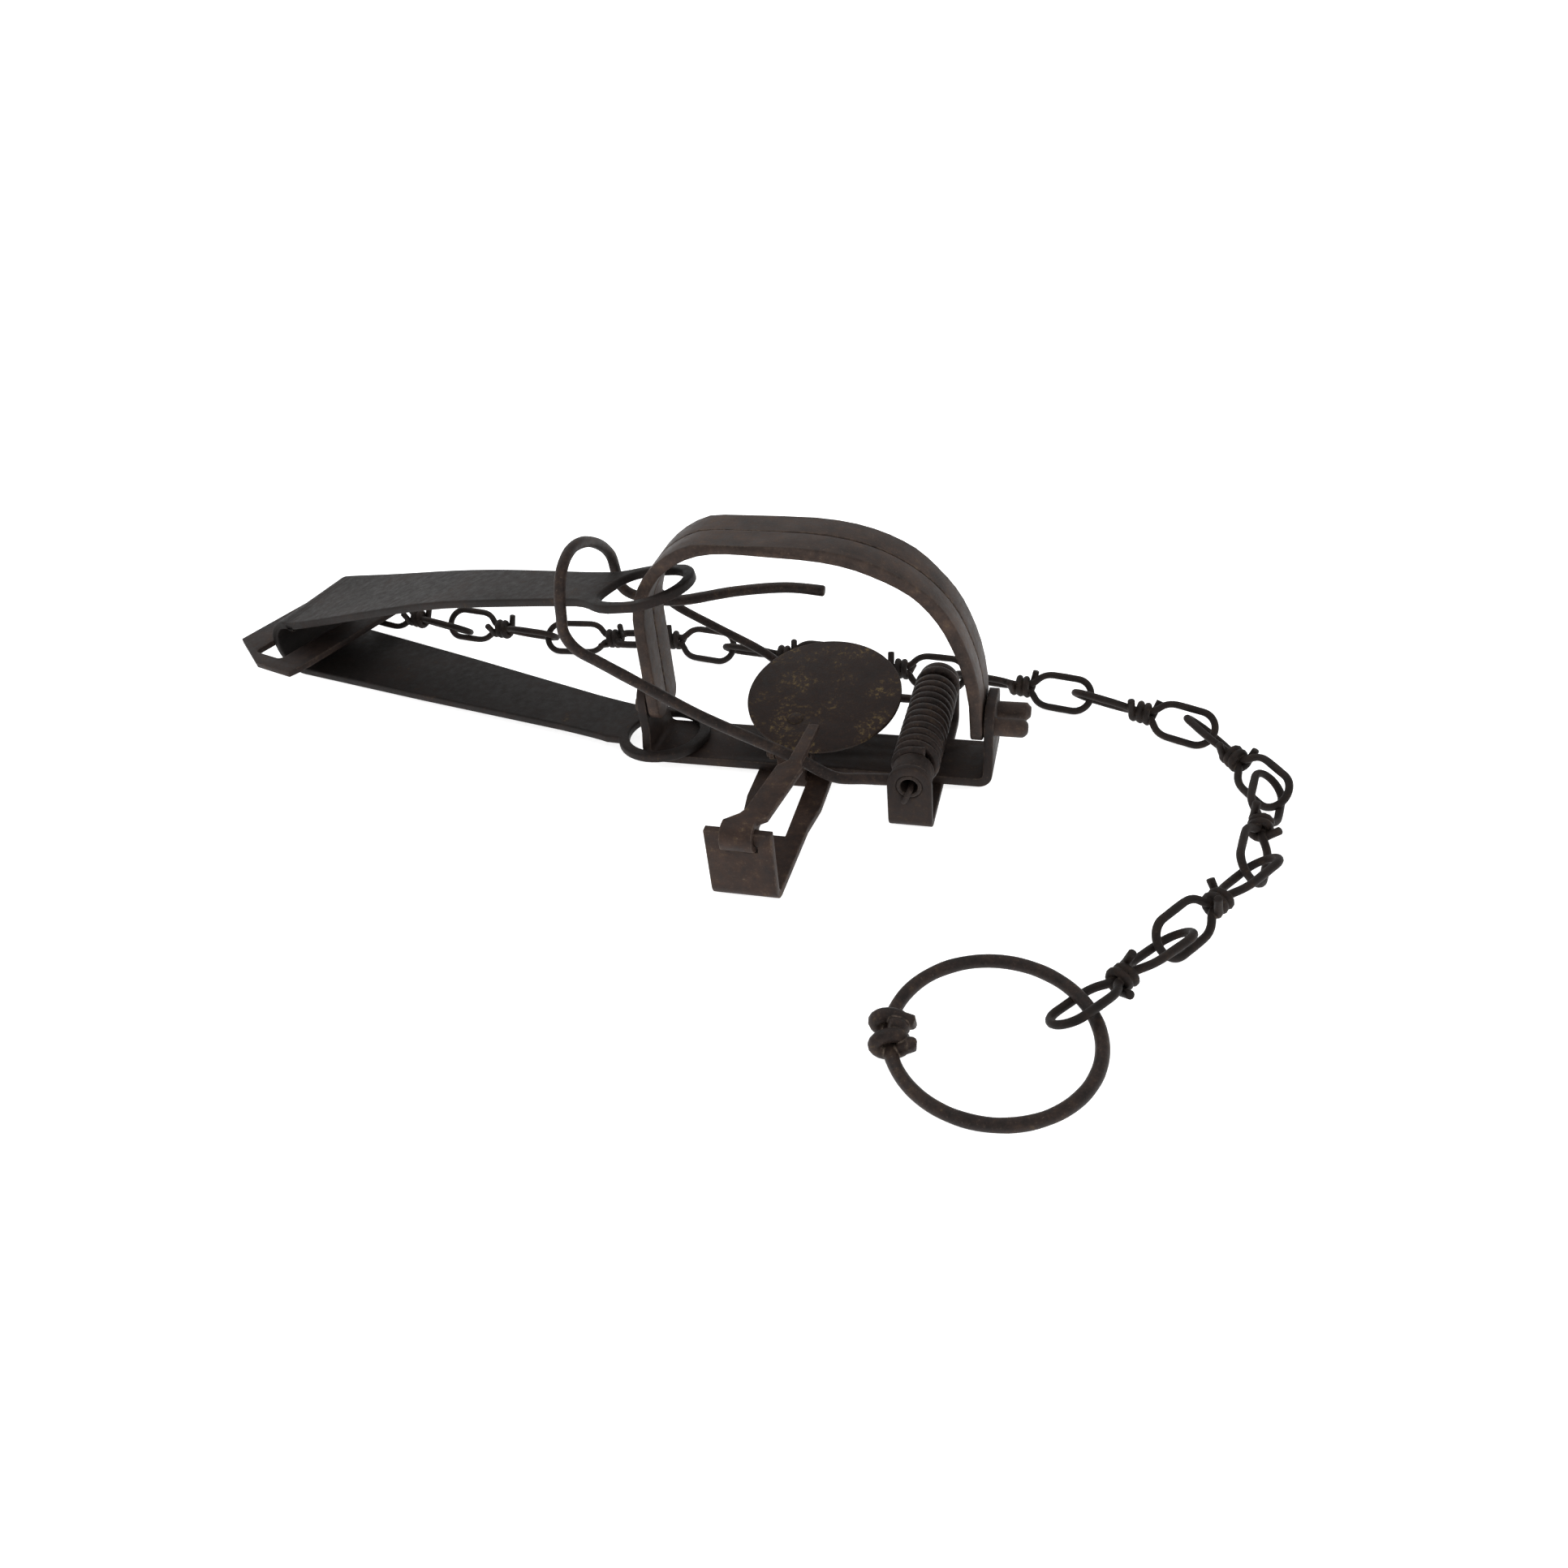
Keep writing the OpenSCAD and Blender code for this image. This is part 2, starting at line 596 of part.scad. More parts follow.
// One loop of a link: a wire that leaves the knot, runs out and back round its end
module link_loop(more = 0) {
    half = loop_gap / 2;
    end = link_reach + more - link_wire / 2 - half;
    bend = [for (a = [-90:22.5:90]) [end + half * cos(a), half * sin(a), 0]];
    tube_along(concat([[1.6, -1.1, 0], [3.2, -1.6, 0], [5.2, -3.7, 0], [7.6, -half, 0]], bend,
        [[7.6, half, 0], [5.2, 3.7, 0], [3.2, 1.6, 0], [1.6, 1.1, 0]]), link_wire, 6);
}

// The wire's ends wrapped round the middle of a link
module link_knot(turns = 3) {
    half = turns * link_wire / 2;
    rotate([0, 90, 0]) rotate_extrude() {
        translate([0, -half]) square([2.3, 2 * half]);
        for (i = [0:turns - 1]) translate([2.3, (i - (turns - 1) / 2) * link_wire]) circle(r = link_wire / 2);
    }
}

// A whole link from one hooking point to the next; each loop is rolled about the link
module chain_link(from, to, roll_back, roll_ahead) {
    d = to - from;
    color(steel) translate(mid(from, to)) rotate([0, 0, atan2(d[1], d[0])])
        rotate([0, atan2(-d[2], norm([d[0], d[1]])), 0]) {
            link_knot();
            rotate([roll_ahead, 0, 0]) link_loop();
            rotate([roll_back, 0, 0]) mirror([1, 0, 0]) link_loop();
        }
}

// The plate that the chain is hung from: a long ring with its outer corners cut off
module chain_plate() {
    tip = slot_end + 12.4;
    wide = bend_half + 13;
    color(dark) spring_frame() translate([0, 0, plate_z - plate_t / 2]) linear_extrude(height = plate_t)
        difference() {
            polygon([[tip, wide - 9.4], [tip - 19.5, wide], [tip - 36, wide], [tip - 37, wide - 4.5],
                [tip - 37, 4.5 - wide], [tip - 36, -wide], [tip - 19.5, -wide], [tip, 9.4 - wide]]);
            hull() for (x = [slot_end - slot_w + 2, slot_end - 2], y = [-1, 1])
                translate([x, y * (wide - 5.2 - 2)]) circle(r = 2);
        }
}

stem_r = 1.3;
head_r = 2.5;
module swivel_eye() {
    wall = 1.5;
    inner = head_r + 0.6;
    color(steel) translate([knots[2][0], knots[2][1], rest_z]) rotate([0, 0, heading(knots[2], knots[3])]) {
        link_knot();
        rotate([lean, 0, 0]) mirror([1, 0, 0]) link_loop(eye_more);
        difference() {
            linear_extrude(height = 2 * head_r, center = true) difference() {
                translate([1.5, -inner - wall]) square([11, 2 * (inner + wall)]);
                translate([3.6, -inner]) square([11 - 3.6, 2 * inner]);
            }
            along_x(9, 16, stem_r + fit);
        }
    }
}

module swivel_stem() {
    span = norm(knots[3] - knots[2]);
    color(steel) translate([knots[3][0], knots[3][1], rest_z]) {
        rotate([0, 0, heading(knots[2], knots[3])]) {
            along_x(8.4 - span, 0, stem_r);
            along_x(8.4 - span, 10.7 - span, head_r);
            link_knot(2);
        }
        rotate([0, 0, heading(knots[3], knots[4])]) rotate([lean, 0, 0]) link_loop(stem_more);
    }
}

// Where link i is hooked to the one before it; a taut joint is half a pitch from the knot
half_pitch = hook_r - (link_wire + gap) / 2;
function hook_at(i) = i == 1 || i == 4 ? knots[i] - half_pitch * unit(knots[i] - knots[i - 1])
    : i == 2 ? knots[1] + half_pitch * unit(knots[2] - knots[1]) : mid(knots[i - 1], knots[i]);
function centre(i) = i == 0 || i == 2 || i == 3 || i == 11 ? knots[i] : mid(hook_at(i), hook_at(i + 1));

// How far aside a loop hangs in the loop before it: not at all where the chain is taut, and less
// where the chain turns, because the loop before it then points outwards
function turn(i) = heading(hook_at(i - 1), hook_at(i)) - heading(hook_at(i), i == 11 ? knots[11] : hook_at(i + 1));
function hook_slack(i, roll) = let (past = 2 * hook_r + (i == 4 ? stem_more : 0) - norm(centre(i) - centre(i - 1)),
    a = loop_gap / 2 - past, b = loop_gap / 2 - link_wire - gap)
    a >= b ? 0 : sqrt(b * b - pow(max(a, 0), 2)) - (i < 5 ? 0 : past / 2 * sin(turn(i)) * cos(roll));
function hook_side(i, roll) = let (h = heading(knots[i - 1], knots[i]), s = hook_slack(i, roll) * sign(roll))
    [-s * cos(roll) * sin(h), s * cos(roll) * cos(h), s * sin(roll)];

// Link number k of the plain links, in the order of the chain
function link_at(k) = k < 2 ? k : k + 2;
module plain_link(k) {
    i = link_at(k);
    roll = k < 2 ? lean : lean - 90;
    ahead = i == 11 ? 2 * knots[11] - hook_at(11) : hook_at(i + 1);
    fall = (start_z - end_z) / (2 * hook_r) * norm(ahead - knots[0]);
    if (k == 0)
        chain_link(concat(2 * knots[0] - ahead, [(start_z + end_z) / 2 + fall]),
            concat(ahead, [(start_z + end_z) / 2 - fall]), roll, lean - 90);
    else
        chain_link(concat(hook_at(i), [k == 1 ? end_z + 0.3 : rest_z]) + hook_side(i, roll),
            concat(ahead, [rest_z]), roll, k < 2 ? lean - 90 : lean);
}

module end_ring() {
    r = (ring_d - ring_wire) / 2;
    catch_a = heading(ring_c, knots[11]);
    lift = 1.9;
    tilt = asin(lift / (2 * r));
    color(steel) translate([ring_c[0], ring_c[1], ring_wire / 2 + lift / 2 + 0.75]) rotate([0, 0, catch_a])
        rotate([0, -tilt, 0]) {
            rotate_extrude($fn = 72) translate([r, 0]) circle(r = ring_wire / 2);
            // the wire's ends, wrapped round each other
            for (a = [-7, 0, 7]) rotate([0, 0, 132 + a]) translate([r, 0, 0]) rotate([90, 0, 0])
                rotate_extrude($fn = 24) translate([ring_wire / 2 - 0.4, 0]) circle(r = 1.2, $fn = 12);
        }
}

// ---- all nodes --------------------------------------------------------------------------------

base_strip();
dog_cross();
coil_bracket();
base_rivets();
jaw_front();
jaw_back();
spring_lower_leaf();
spring_upper_leaf();
dog();
pan();
pan_shank();
pan_rivet();
pan_pin();
coil_tube();
guard_coil();
guard_collar();
guard_frame();
guard_spring_leg();
chain_plate();
plain_link(0);  // chain_link_01
plain_link(1);  // chain_link_02
swivel_eye();
swivel_stem();
plain_link(2);  // chain_link_03
plain_link(3);  // chain_link_04
plain_link(4);  // chain_link_05
plain_link(5);  // chain_link_06
plain_link(6);  // chain_link_07
plain_link(7);  // chain_link_08
plain_link(8);  // chain_link_09
plain_link(9);  // chain_link_10
end_ring();
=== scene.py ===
"""Dresses a sprung long-spring foothold trap: its strips, wires, chain, ring, finishes, light and camera.

Lengths in the classes are millimetres, in the CAD model's own frame, and turn to metres when a mesh is made.
"""

from __future__ import annotations

import json
import logging
import math
from dataclasses import dataclass, field
from enum import Enum

import bmesh
import bpy
from mathutils import Matrix, Vector, noise

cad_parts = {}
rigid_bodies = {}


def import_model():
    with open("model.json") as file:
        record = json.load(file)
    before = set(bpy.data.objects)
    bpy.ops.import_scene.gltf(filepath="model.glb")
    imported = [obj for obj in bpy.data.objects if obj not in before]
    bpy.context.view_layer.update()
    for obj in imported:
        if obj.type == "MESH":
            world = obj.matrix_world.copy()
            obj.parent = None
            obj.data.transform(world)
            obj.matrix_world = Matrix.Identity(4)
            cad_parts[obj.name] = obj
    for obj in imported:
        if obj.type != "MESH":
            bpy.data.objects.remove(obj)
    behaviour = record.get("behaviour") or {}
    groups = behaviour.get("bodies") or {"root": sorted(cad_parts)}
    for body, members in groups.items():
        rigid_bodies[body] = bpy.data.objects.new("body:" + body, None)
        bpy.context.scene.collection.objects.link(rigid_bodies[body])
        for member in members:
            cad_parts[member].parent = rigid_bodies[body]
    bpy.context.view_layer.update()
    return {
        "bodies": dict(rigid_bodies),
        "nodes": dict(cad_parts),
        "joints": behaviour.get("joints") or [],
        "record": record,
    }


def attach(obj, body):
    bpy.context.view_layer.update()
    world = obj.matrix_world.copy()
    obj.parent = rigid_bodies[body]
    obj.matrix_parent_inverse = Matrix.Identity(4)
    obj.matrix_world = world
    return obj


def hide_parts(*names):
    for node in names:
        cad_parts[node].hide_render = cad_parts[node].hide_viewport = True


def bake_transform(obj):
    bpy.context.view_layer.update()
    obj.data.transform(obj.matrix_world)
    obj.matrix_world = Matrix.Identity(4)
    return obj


LOG = logging.getLogger("foothold_trap")
MM = 0.001
Point = tuple[float, float, float]


class Slot(Enum):
    """The record's material slots."""

    STRIP = "strip_steel"
    PAN = "pan_steel"
    WIRE = "wire_steel"
    CHAIN = "chain_steel"
    PIN = "pin_steel"


# ---- geometry ------------------------------------------------------------------------


def vec(point: Point | Vector) -> Vector:
    """Returns the point as a vector."""
    return Vector(point)


def curve_through(points: list[Vector], steps: int) -> list[Vector]:
    """Runs a smooth curve through given points.

    Args:
        points: The points, in order.
        steps: How many pieces each stretch between two points is cut into.

    Returns:
        The points of the curve, first and last included.
    """
    last = len(points) - 1
    path: list[Vector] = []
    for i in range(last):
        before, a, b, after = points[max(i - 1, 0)], points[i], points[i + 1], points[min(i + 2, last)]
        for k in range(steps):
            t = k / steps
            path.append(
                0.5 * (2 * a + (b - before) * t + (2 * before - 5 * a + 4 * b - after) * t * t
                       + (3 * a - before - 3 * b + after) * t * t * t)
            )
    path.append(points[last])
    return path


def frames_along(path: list[Vector], closed: bool = False) -> list[tuple[Vector, Vector, Vector]]:
    """Carries a frame along a path without twist.

    Args:
        path: The path's points.
        closed: Whether the last point joins the first.

    Returns:
        A tangent, a normal and a side vector for each point.
    """
    count = len(path)
    tangents = []
    for i in range(count):
        ahead = path[(i + 1) % count] if closed else path[min(i + 1, count - 1)]
        behind = path[i - 1] if closed else path[max(i - 1, 0)]
        tangents.append((ahead - behind).normalized())
    start = Vector((0, 0, 1)) if abs(tangents[0].z) < 0.9 else Vector((1, 0, 0))
    frames = []
    for tangent in tangents:
        start = (start - tangent * start.dot(tangent)).normalized()
        frames.append((tangent, start, tangent.cross(start)))
    return frames


@dataclass
class MeshMaker:
    """Collects the vertices and faces of one piece."""

    verts: list[Vector] = field(default_factory=list)
    faces: list[tuple[int, ...]] = field(default_factory=list)

    def ring(self, centre: Vector, across: Vector, up: Vector, radius: float, sides: int) -> int:
        """Adds a ring of points.

        Args:
            centre: Middle of the ring.
            across: Direction of its first point.
            up: Direction a quarter turn on.
            radius: Radius of the ring.
            sides: Number of points.

        Returns:
            The number of its first point.
        """
        first = len(self.verts)
        for k in range(sides):
            angle = math.tau * k / sides
            self.verts.append(centre + radius * (math.cos(angle) * across + math.sin(angle) * up))
        return first

    def band(self, a: int, b: int, sides: int) -> None:
        """Joins two rings with a band of faces.

        Args:
            a: Number of the first ring's first point.
            b: Number of the second ring's first point.
            sides: Number of points in each.
        """
        for k in range(sides):
            j = (k + 1) % sides
            self.faces.append((a + k, a + j, b + j, b + k))

    def tube(self, path: list[Vector], radius: float, sides: int = 16, closed: bool = False,
             wobble: float = 0.0, nose: float = 0.6) -> None:
        """Adds a round wire along a path.

        Args:
            path: The wire's centre line.
            radius: Its radius.
            sides: The number of faces round it.
            closed: Whether it closes on itself.
            wobble: Share of the radius by which the hand-drawn wire varies.
            nose: Share of the radius taken by each rounded end.
        """
        frames = frames_along(path, closed)
        rings: list[int] = []
        for point, (_, normal, side) in zip(path, frames):
            size = radius * (1 + wobble * noise.noise(point * 0.21))
            rings.append(self.ring(point, normal, side, size, sides))
        for a, b in zip(rings, rings[1:]):
            self.band(a, b, sides)
        if closed:
            self.band(rings[-1], rings[0], sides)
            return
        for end, inward in ((0, 1), (len(path) - 1, -1)):
            tangent, normal, side = frames[end]
            out = -tangent * inward
            previous = rings[end]
            for step in (0.5, 0.85):
                angle = step * math.pi / 2
                shrunk = radius * (1 - nose * (1 - math.cos(angle)))
                centre = path[end] + out * radius * nose * math.sin(angle)
                ring = self.ring(centre, normal, side, shrunk, sides)
                if inward > 0:
                    self.band(ring, previous, sides)
                else:
                    self.band(previous, ring, sides)
                previous = ring
            cap = tuple(range(previous, previous + sides))
            self.faces.append(cap[::-1] if inward > 0 else cap)

    def turned(self, profile: list[tuple[float, float]], base: Point, axis: Point, sides: int = 32) -> None:
        """Adds a turned form.

        Args:
            profile: Pairs of distance along the axis and radius, both ends closed.
            base: Where distance 0 lies.
            axis: Direction of the axis.
            sides: The number of faces round it.
        """
        along = vec(axis).normalized()
        across = along.orthogonal().normalized()
        up = along.cross(across)
        rings = [self.ring(vec(base) + along * d, across, up, r, sides) for d, r in profile]
        for a, b in zip(rings, rings[1:]):
            self.band(a, b, sides)
        self.faces.append(tuple(range(rings[0], rings[0] + sides))[::-1])
        self.faces.append(tuple(range(rings[-1], rings[-1] + sides)))

    def transformed(self, matrix: Matrix, first: int = 0) -> None:
        """Moves every point from number first on by a matrix."""
        self.verts[first:] = [matrix @ v for v in self.verts[first:]]

    def piece(self, name: str, sharp: float = 50.0) -> bpy.types.Object:
        """Turns the collected faces into an object in metres.

        Args:
            name: The piece's name.
            sharp: Angle in degrees over which an edge is drawn sharp.

        Returns:
            The new object.
        """
        mesh = bpy.data.meshes.new(name)
        mesh.from_pydata([tuple(v * MM) for v in self.verts], [], self.faces)
        mesh.validate()
        return finished(name, mesh, sharp)


def finished(name: str, mesh: bpy.types.Mesh, sharp: float) -> bpy.types.Object:
    """Puts a mesh in the scene with outward normals and smooth shading.

    Args:
        name: The piece's name.
        mesh: Its mesh, in metres.
        sharp: Angle in degrees over which an edge is drawn sharp.

    Returns:
        The new object.
    """
    work = bmesh.new()
    work.from_mesh(mesh)
    bmesh.ops.recalc_face_normals(work, faces=work.faces)
    work.to_mesh(mesh)
    work.free()
    mesh.shade_smooth()
    mesh.set_sharp_from_angle(angle=math.radians(sharp))
    made = bpy.data.objects.new(name, mesh)
    bpy.context.scene.collection.objects.link(made)
    return made


def with_modifiers(made: bpy.types.Object, *modifiers: tuple[str, dict[str, object]]) -> bpy.types.Object:
    """Applies modifiers to a piece.

    Args:
        made: The piece.
        modifiers: Pairs of a modifier's type and its settings.

    Returns:
        The same piece, with the modifiers in its mesh.
    """
    for kind, settings in modifiers:
        modifier = made.modifiers.new(kind.title(), kind)
        for key, value in settings.items():
            setattr(modifier, key, value)
    bpy.context.view_layer.update()
    evaluated = made.evaluated_get(bpy.context.evaluated_depsgraph_get())
    mesh = bpy.data.meshes.new_from_object(evaluated)
    made.modifiers.clear()
    made.data = mesh
    return made


def eased(node: str, width: float, segments: int = 2) -> bpy.types.Object:
    """Copies a CAD node with its edges eased, as a file or a tumbling barrel leaves them.

    Args:
        node: The CAD node's name.
        width: Width of the eased edge.
        segments: The number of faces across it.

    Returns:
        The new piece, which stands for the node.
    """
    source = bpy.data.objects[FRAME_NODES[node]]
    work = bmesh.new()
    work.from_mesh(source.data)
    bmesh.ops.remove_doubles(work, verts=work.verts, dist=0.002 * MM)
    bmesh.ops.dissolve_limit(work, angle_limit=math.radians(1.2), verts=work.verts, edges=work.edges)
    mesh = bpy.data.meshes.new(node + "_eased")
    work.to_mesh(mesh)
    work.free()
    made = finished(node + "_eased", mesh, 35)
    with_modifiers(made, ("BEVEL", {"width": width * MM, "segments": segments, "limit_method": "ANGLE",
                                    "angle_limit": math.radians(38), "use_clamp_overlap": True,
                                    "harden_normals": False}))
    made.data.shade_smooth()
    made.data.set_sharp_from_angle(angle=math.radians(40))
    return made


# ---- finishes -------------------------------------------------------------------------


def linear(colour: str) -> tuple[float, float, float, float]:
    """Turns an sRGB hex value into a linear colour.

    Args:
        colour: The hex value, such as #f7f7f7.

    Returns:
        Linear red, green and blue, and full alpha.
    """
    parts = [int(colour[i:i + 2], 16) / 255 for i in (1, 3, 5)]
    r, g, b = (c / 12.92 if c <= 0.04045 else ((c + 0.055) / 1.055) ** 2.4 for c in parts)
    return r, g, b, 1.0


def add_node(tree: bpy.types.NodeTree, kind: str, links: dict[str | int, object] | None = None,
             **settings: object) -> bpy.types.Node:
    """Adds a shader node.

    Args:
        tree: The material's node tree.
        kind: The node's type.
        links: For each input, either a value or an output socket to join to it.
        settings: The node's own settings.

    Returns:
        The new node.
    """
    made = tree.nodes.new(kind)
    for key, value in settings.items():
        setattr(made, key, value)
    for key, value in (links or {}).items():
        socket = made.inputs[key]
        if isinstance(value, bpy.types.NodeSocket):
            tree.links.new(value, socket)
        else:
            socket.default_value = value
    return made


@dataclass(frozen=True)
class OxidisedSteel:
    """Hot-rolled spring steel left to go brown: a thin dull oxide, rubbed back to metal in scuffs where hands
    and neighbours touch it, so broad faces look nearly black; the warm grey line on the edges is partly
    rubbed wear and partly a painted highlight."""

    name: str
    deep: str = "#171312"
    middle: str = "#251c19"
    brown: str = "#332721"
    worn: str = "#7b6e62"
    # Colour of bare rubbed metal, also used for the painted highlight along the edges
    dirt: str = "#5d5138"
    patch_mm: float = 13.0
    mottle_mm: float = 2.4
    grit_mm: float = 0.55
    edge_mm: float = 0.7
    # How strongly the wear and the painted edge highlight show
    wear_and_highlight: float = 0.55
    soil: float = 0.15
    roughness: float = 0.6
    bump: float = 0.16
    gloss: float = 0.2

    def build(self) -> bpy.types.Material:
        """Builds the material.

        Returns:
            The new material.
        """
        material = bpy.data.materials.new(self.name)
        material.use_nodes = True
        tree = material.node_tree
        tree.nodes.clear()
        place = add_node(tree, "ShaderNodeTexCoord").outputs["Object"]
        size = add_node(tree, "ShaderNodeVectorMath", {0: place, 1: (1000, 1000, 1000)},
                        operation="MULTIPLY").outputs[0]
        patch = add_node(tree, "ShaderNodeTexNoise",
                         {"Vector": size, "Scale": 1 / self.patch_mm, "Detail": 5.0, "Roughness": 0.6})
        mottle = add_node(tree, "ShaderNodeTexNoise",
                          {"Vector": size, "Scale": 1 / self.mottle_mm, "Detail": 6.0, "Roughness": 0.7})
        grit = add_node(tree, "ShaderNodeTexNoise",
                        {"Vector": size, "Scale": 1 / self.grit_mm, "Detail": 3.0, "Roughness": 0.6})
        # Broad oxide: near-black where it is thick, browner where it is thin
        blend = add_node(tree, "ShaderNodeMath", {0: patch.outputs[0], 1: mottle.outputs[0]},
                         operation="ADD")
        half = add_node(tree, "ShaderNodeMath", {0: blend.outputs[0], 1: 0.5}, operation="MULTIPLY")
        oxide = add_node(tree, "ShaderNodeValToRGB", {"Fac": half.outputs[0]})
        ramp = oxide.color_ramp
        ramp.elements[0].position, ramp.elements[0].color = 0.36, linear(self.deep)
        ramp.elements[1].position, ramp.elements[1].color = 0.66, linear(self.brown)
        ramp.elements.new(0.5).color = linear(self.middle)
        # Soil and yellow rust that stay in the hollows
        soil_at = add_node(tree, "ShaderNodeMapRange",
                           {"Value": mottle.outputs[0], "From Min": 0.64 - 0.3 * self.soil,
                            "From Max": 0.74 - 0.25 * self.soil, "To Min": 0.0, "To Max": 1.0})
        soil_in = add_node(tree, "ShaderNodeMapRange",
                           {"Value": patch.outputs[0], "From Min": 0.48, "From Max": 0.62,
                            "To Min": 0.0, "To Max": min(1.0, self.soil * 2.4)})
        soil = add_node(tree, "ShaderNodeMath", {0: soil_at.outputs[0], 1: soil_in.outputs[0]},
                        operation="MULTIPLY")
        soiled = add_node(tree, "ShaderNodeMix",
                          {0: soil.outputs[0], 6: oxide.outputs[0], 7: linear(self.dirt)}, data_type="RGBA")
        # Rubbed edges, partly a painted highlight: a lighter line where the rounded normal leaves the face's
        # own
        rounded = add_node(tree, "ShaderNodeBevel", {"Radius": self.edge_mm * MM}, samples=6)
        own = add_node(tree, "ShaderNodeNewGeometry")
        match = add_node(tree, "ShaderNodeVectorMath", {0: rounded.outputs[0], 1: own.outputs["Normal"]},
                         operation="DOT_PRODUCT")
        edge = add_node(tree, "ShaderNodeMapRange",
                        {"Value": match.outputs["Value"], "From Min": 0.995, "From Max": 0.86,
                         "To Min": 0.0, "To Max": 1.0})
        rubbed = add_node(tree, "ShaderNodeMapRange",
                          {"Value": mottle.outputs[0], "From Min": 0.40, "From Max": 0.62,
                           "To Min": 0.1, "To Max": 1.0})
        edge_wear_and_highlight = add_node(tree, "ShaderNodeMath", {0: edge.outputs[0], 1: rubbed.outputs[0]},
                             operation="MULTIPLY")
        scuff = add_node(tree, "ShaderNodeMapRange",
                         {"Value": grit.outputs[0], "From Min": 0.60, "From Max": 0.78,
                          "To Min": 0.0, "To Max": 0.55})
        face_wear = add_node(tree, "ShaderNodeMath", {0: scuff.outputs[0], 1: rubbed.outputs[0]},
                             operation="MULTIPLY")
        wear_and_highlight_sum = add_node(tree, "ShaderNodeMath", {0: edge_wear_and_highlight.outputs[0], 1: face_wear.outputs[0]},
                            operation="MAXIMUM")
        wear_and_highlight = add_node(tree, "ShaderNodeMath", {0: wear_and_highlight_sum.outputs[0], 1: self.wear_and_highlight}, operation="MULTIPLY",
                        use_clamp=True)
        # The lighter worn colour goes on scuffs as wear, and on edges as wear with a painted highlight
        colour = add_node(tree, "ShaderNodeMix",
                          {0: wear_and_highlight.outputs[0], 6: soiled.outputs[2], 7: linear(self.worn)}, data_type="RGBA")
        # More metallic on the scuffs and on the painted edge highlight
        metal = add_node(tree, "ShaderNodeMapRange",
                         {"Value": wear_and_highlight.outputs[0], "From Min": 0.0, "From Max": 0.8, "To Min": 0.1,
                          "To Max": 0.6})
        gloss = add_node(tree, "ShaderNodeMapRange",
                         {"Value": mottle.outputs[0], "From Min": 0.3, "From Max": 0.7,
                          "To Min": self.roughness - 0.1, "To Max": self.roughness + 0.14})
        height = add_node(tree, "ShaderNodeMath", {0: grit.outputs[0], 1: mottle.outputs[0]}, operation="ADD")
        raised = add_node(tree, "ShaderNodeBump",
                          {"Strength": self.bump, "Distance": 0.25 * MM, "Height": height.outputs[0],
                           "Normal": rounded.outputs[0]})
        shader = add_node(tree, "ShaderNodeBsdfPrincipled",
                          {"Base Color": colour.outputs[2], "Metallic": metal.outputs[0],
                           "Roughness": gloss.outputs[0], "Specular IOR Level": self.gloss,
                           "Normal": raised.outputs[0]})
        add_node(tree, "ShaderNodeOutputMaterial", {"Surface": shader.outputs[0]})
        return material


class Finishes:
    """The trap's finishes, one for each kind of stock it was made from."""

    def __init__(self) -> None:
        """Builds every finish."""
        self.strip = OxidisedSteel("oxidised_rolled_strip").build()
        self.spring = OxidisedSteel("oxidised_spring_strip", deep="#120f0e", middle="#1b1614",
                                    brown="#291f1c", worn="#6f645c", wear_and_highlight=0.4, patch_mm=22.0).build()
        self.jaw = OxidisedSteel("oxidised_jaw_bar", deep="#221b18", middle="#362b26", brown="#4b3b32",
                                 worn="#86786b", wear_and_highlight=0.75, patch_mm=9.0, roughness=0.55).build()
        self.pan = OxidisedSteel("rusted_pan_sheet", deep="#1e1715", middle="#2a1f1b", brown="#392a22",
                                 worn="#75674f", dirt="#6b5b3b", wear_and_highlight=0.4, soil=0.42, patch_mm=10.0,
                                 mottle_mm=1.3, grit_mm=0.7, bump=0.3).build()
        self.dog = OxidisedSteel("browned_dog_plate", deep="#211816", middle="#32251f", brown="#43322a",
                                 worn="#85776a", dirt="#5f5138", wear_and_highlight=0.7, soil=0.25, patch_mm=8.0).build()
        self.wire = OxidisedSteel("hard_drawn_wire", deep="#181311", middle="#271e1b", brown="#382b24",
                                  worn="#86786b", wear_and_highlight=0.75, patch_mm=6.0, mottle_mm=1.5,
                                  roughness=0.52, bump=0.2).build()
        self.chain = OxidisedSteel("soft_link_wire", deep="#110d0b", middle="#1d1613", brown="#2c211b",
                                   worn="#5d534a", wear_and_highlight=0.55, patch_mm=5.0, mottle_mm=1.3).build()
        self.pin = OxidisedSteel("turned_pin_steel", deep="#191412", middle="#271f1c", brown="#382c26",
                                 worn="#8a7c70", wear_and_highlight=0.7, patch_mm=4.0, mottle_mm=1.2).build()


def dress(made: bpy.types.Object, finish: bpy.types.Material, slot: Slot, body: str, *nodes: str) -> None:
    """Gives a new piece its finish, lets it ride on a body and hides the nodes it stands for.

    Args:
        made: The piece.
        finish: Its material.
        slot: The record's slot that it takes its finish from; not used.
        body: The CAD body it moves with, or an empty string to leave it without one.
        nodes: The CAD nodes it replaces.
    """
    made.data.materials.clear()
    made.data.materials.append(finish)
    if body:
        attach(made, body)
    if nodes:
        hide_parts(*nodes)
    LOG.info("%s: %d faces", made.name, len(made.data.polygons))


FRAME_NODES: dict[str, str] = {}


# ---- sub-assemblies -----------------------------------------------------------------------


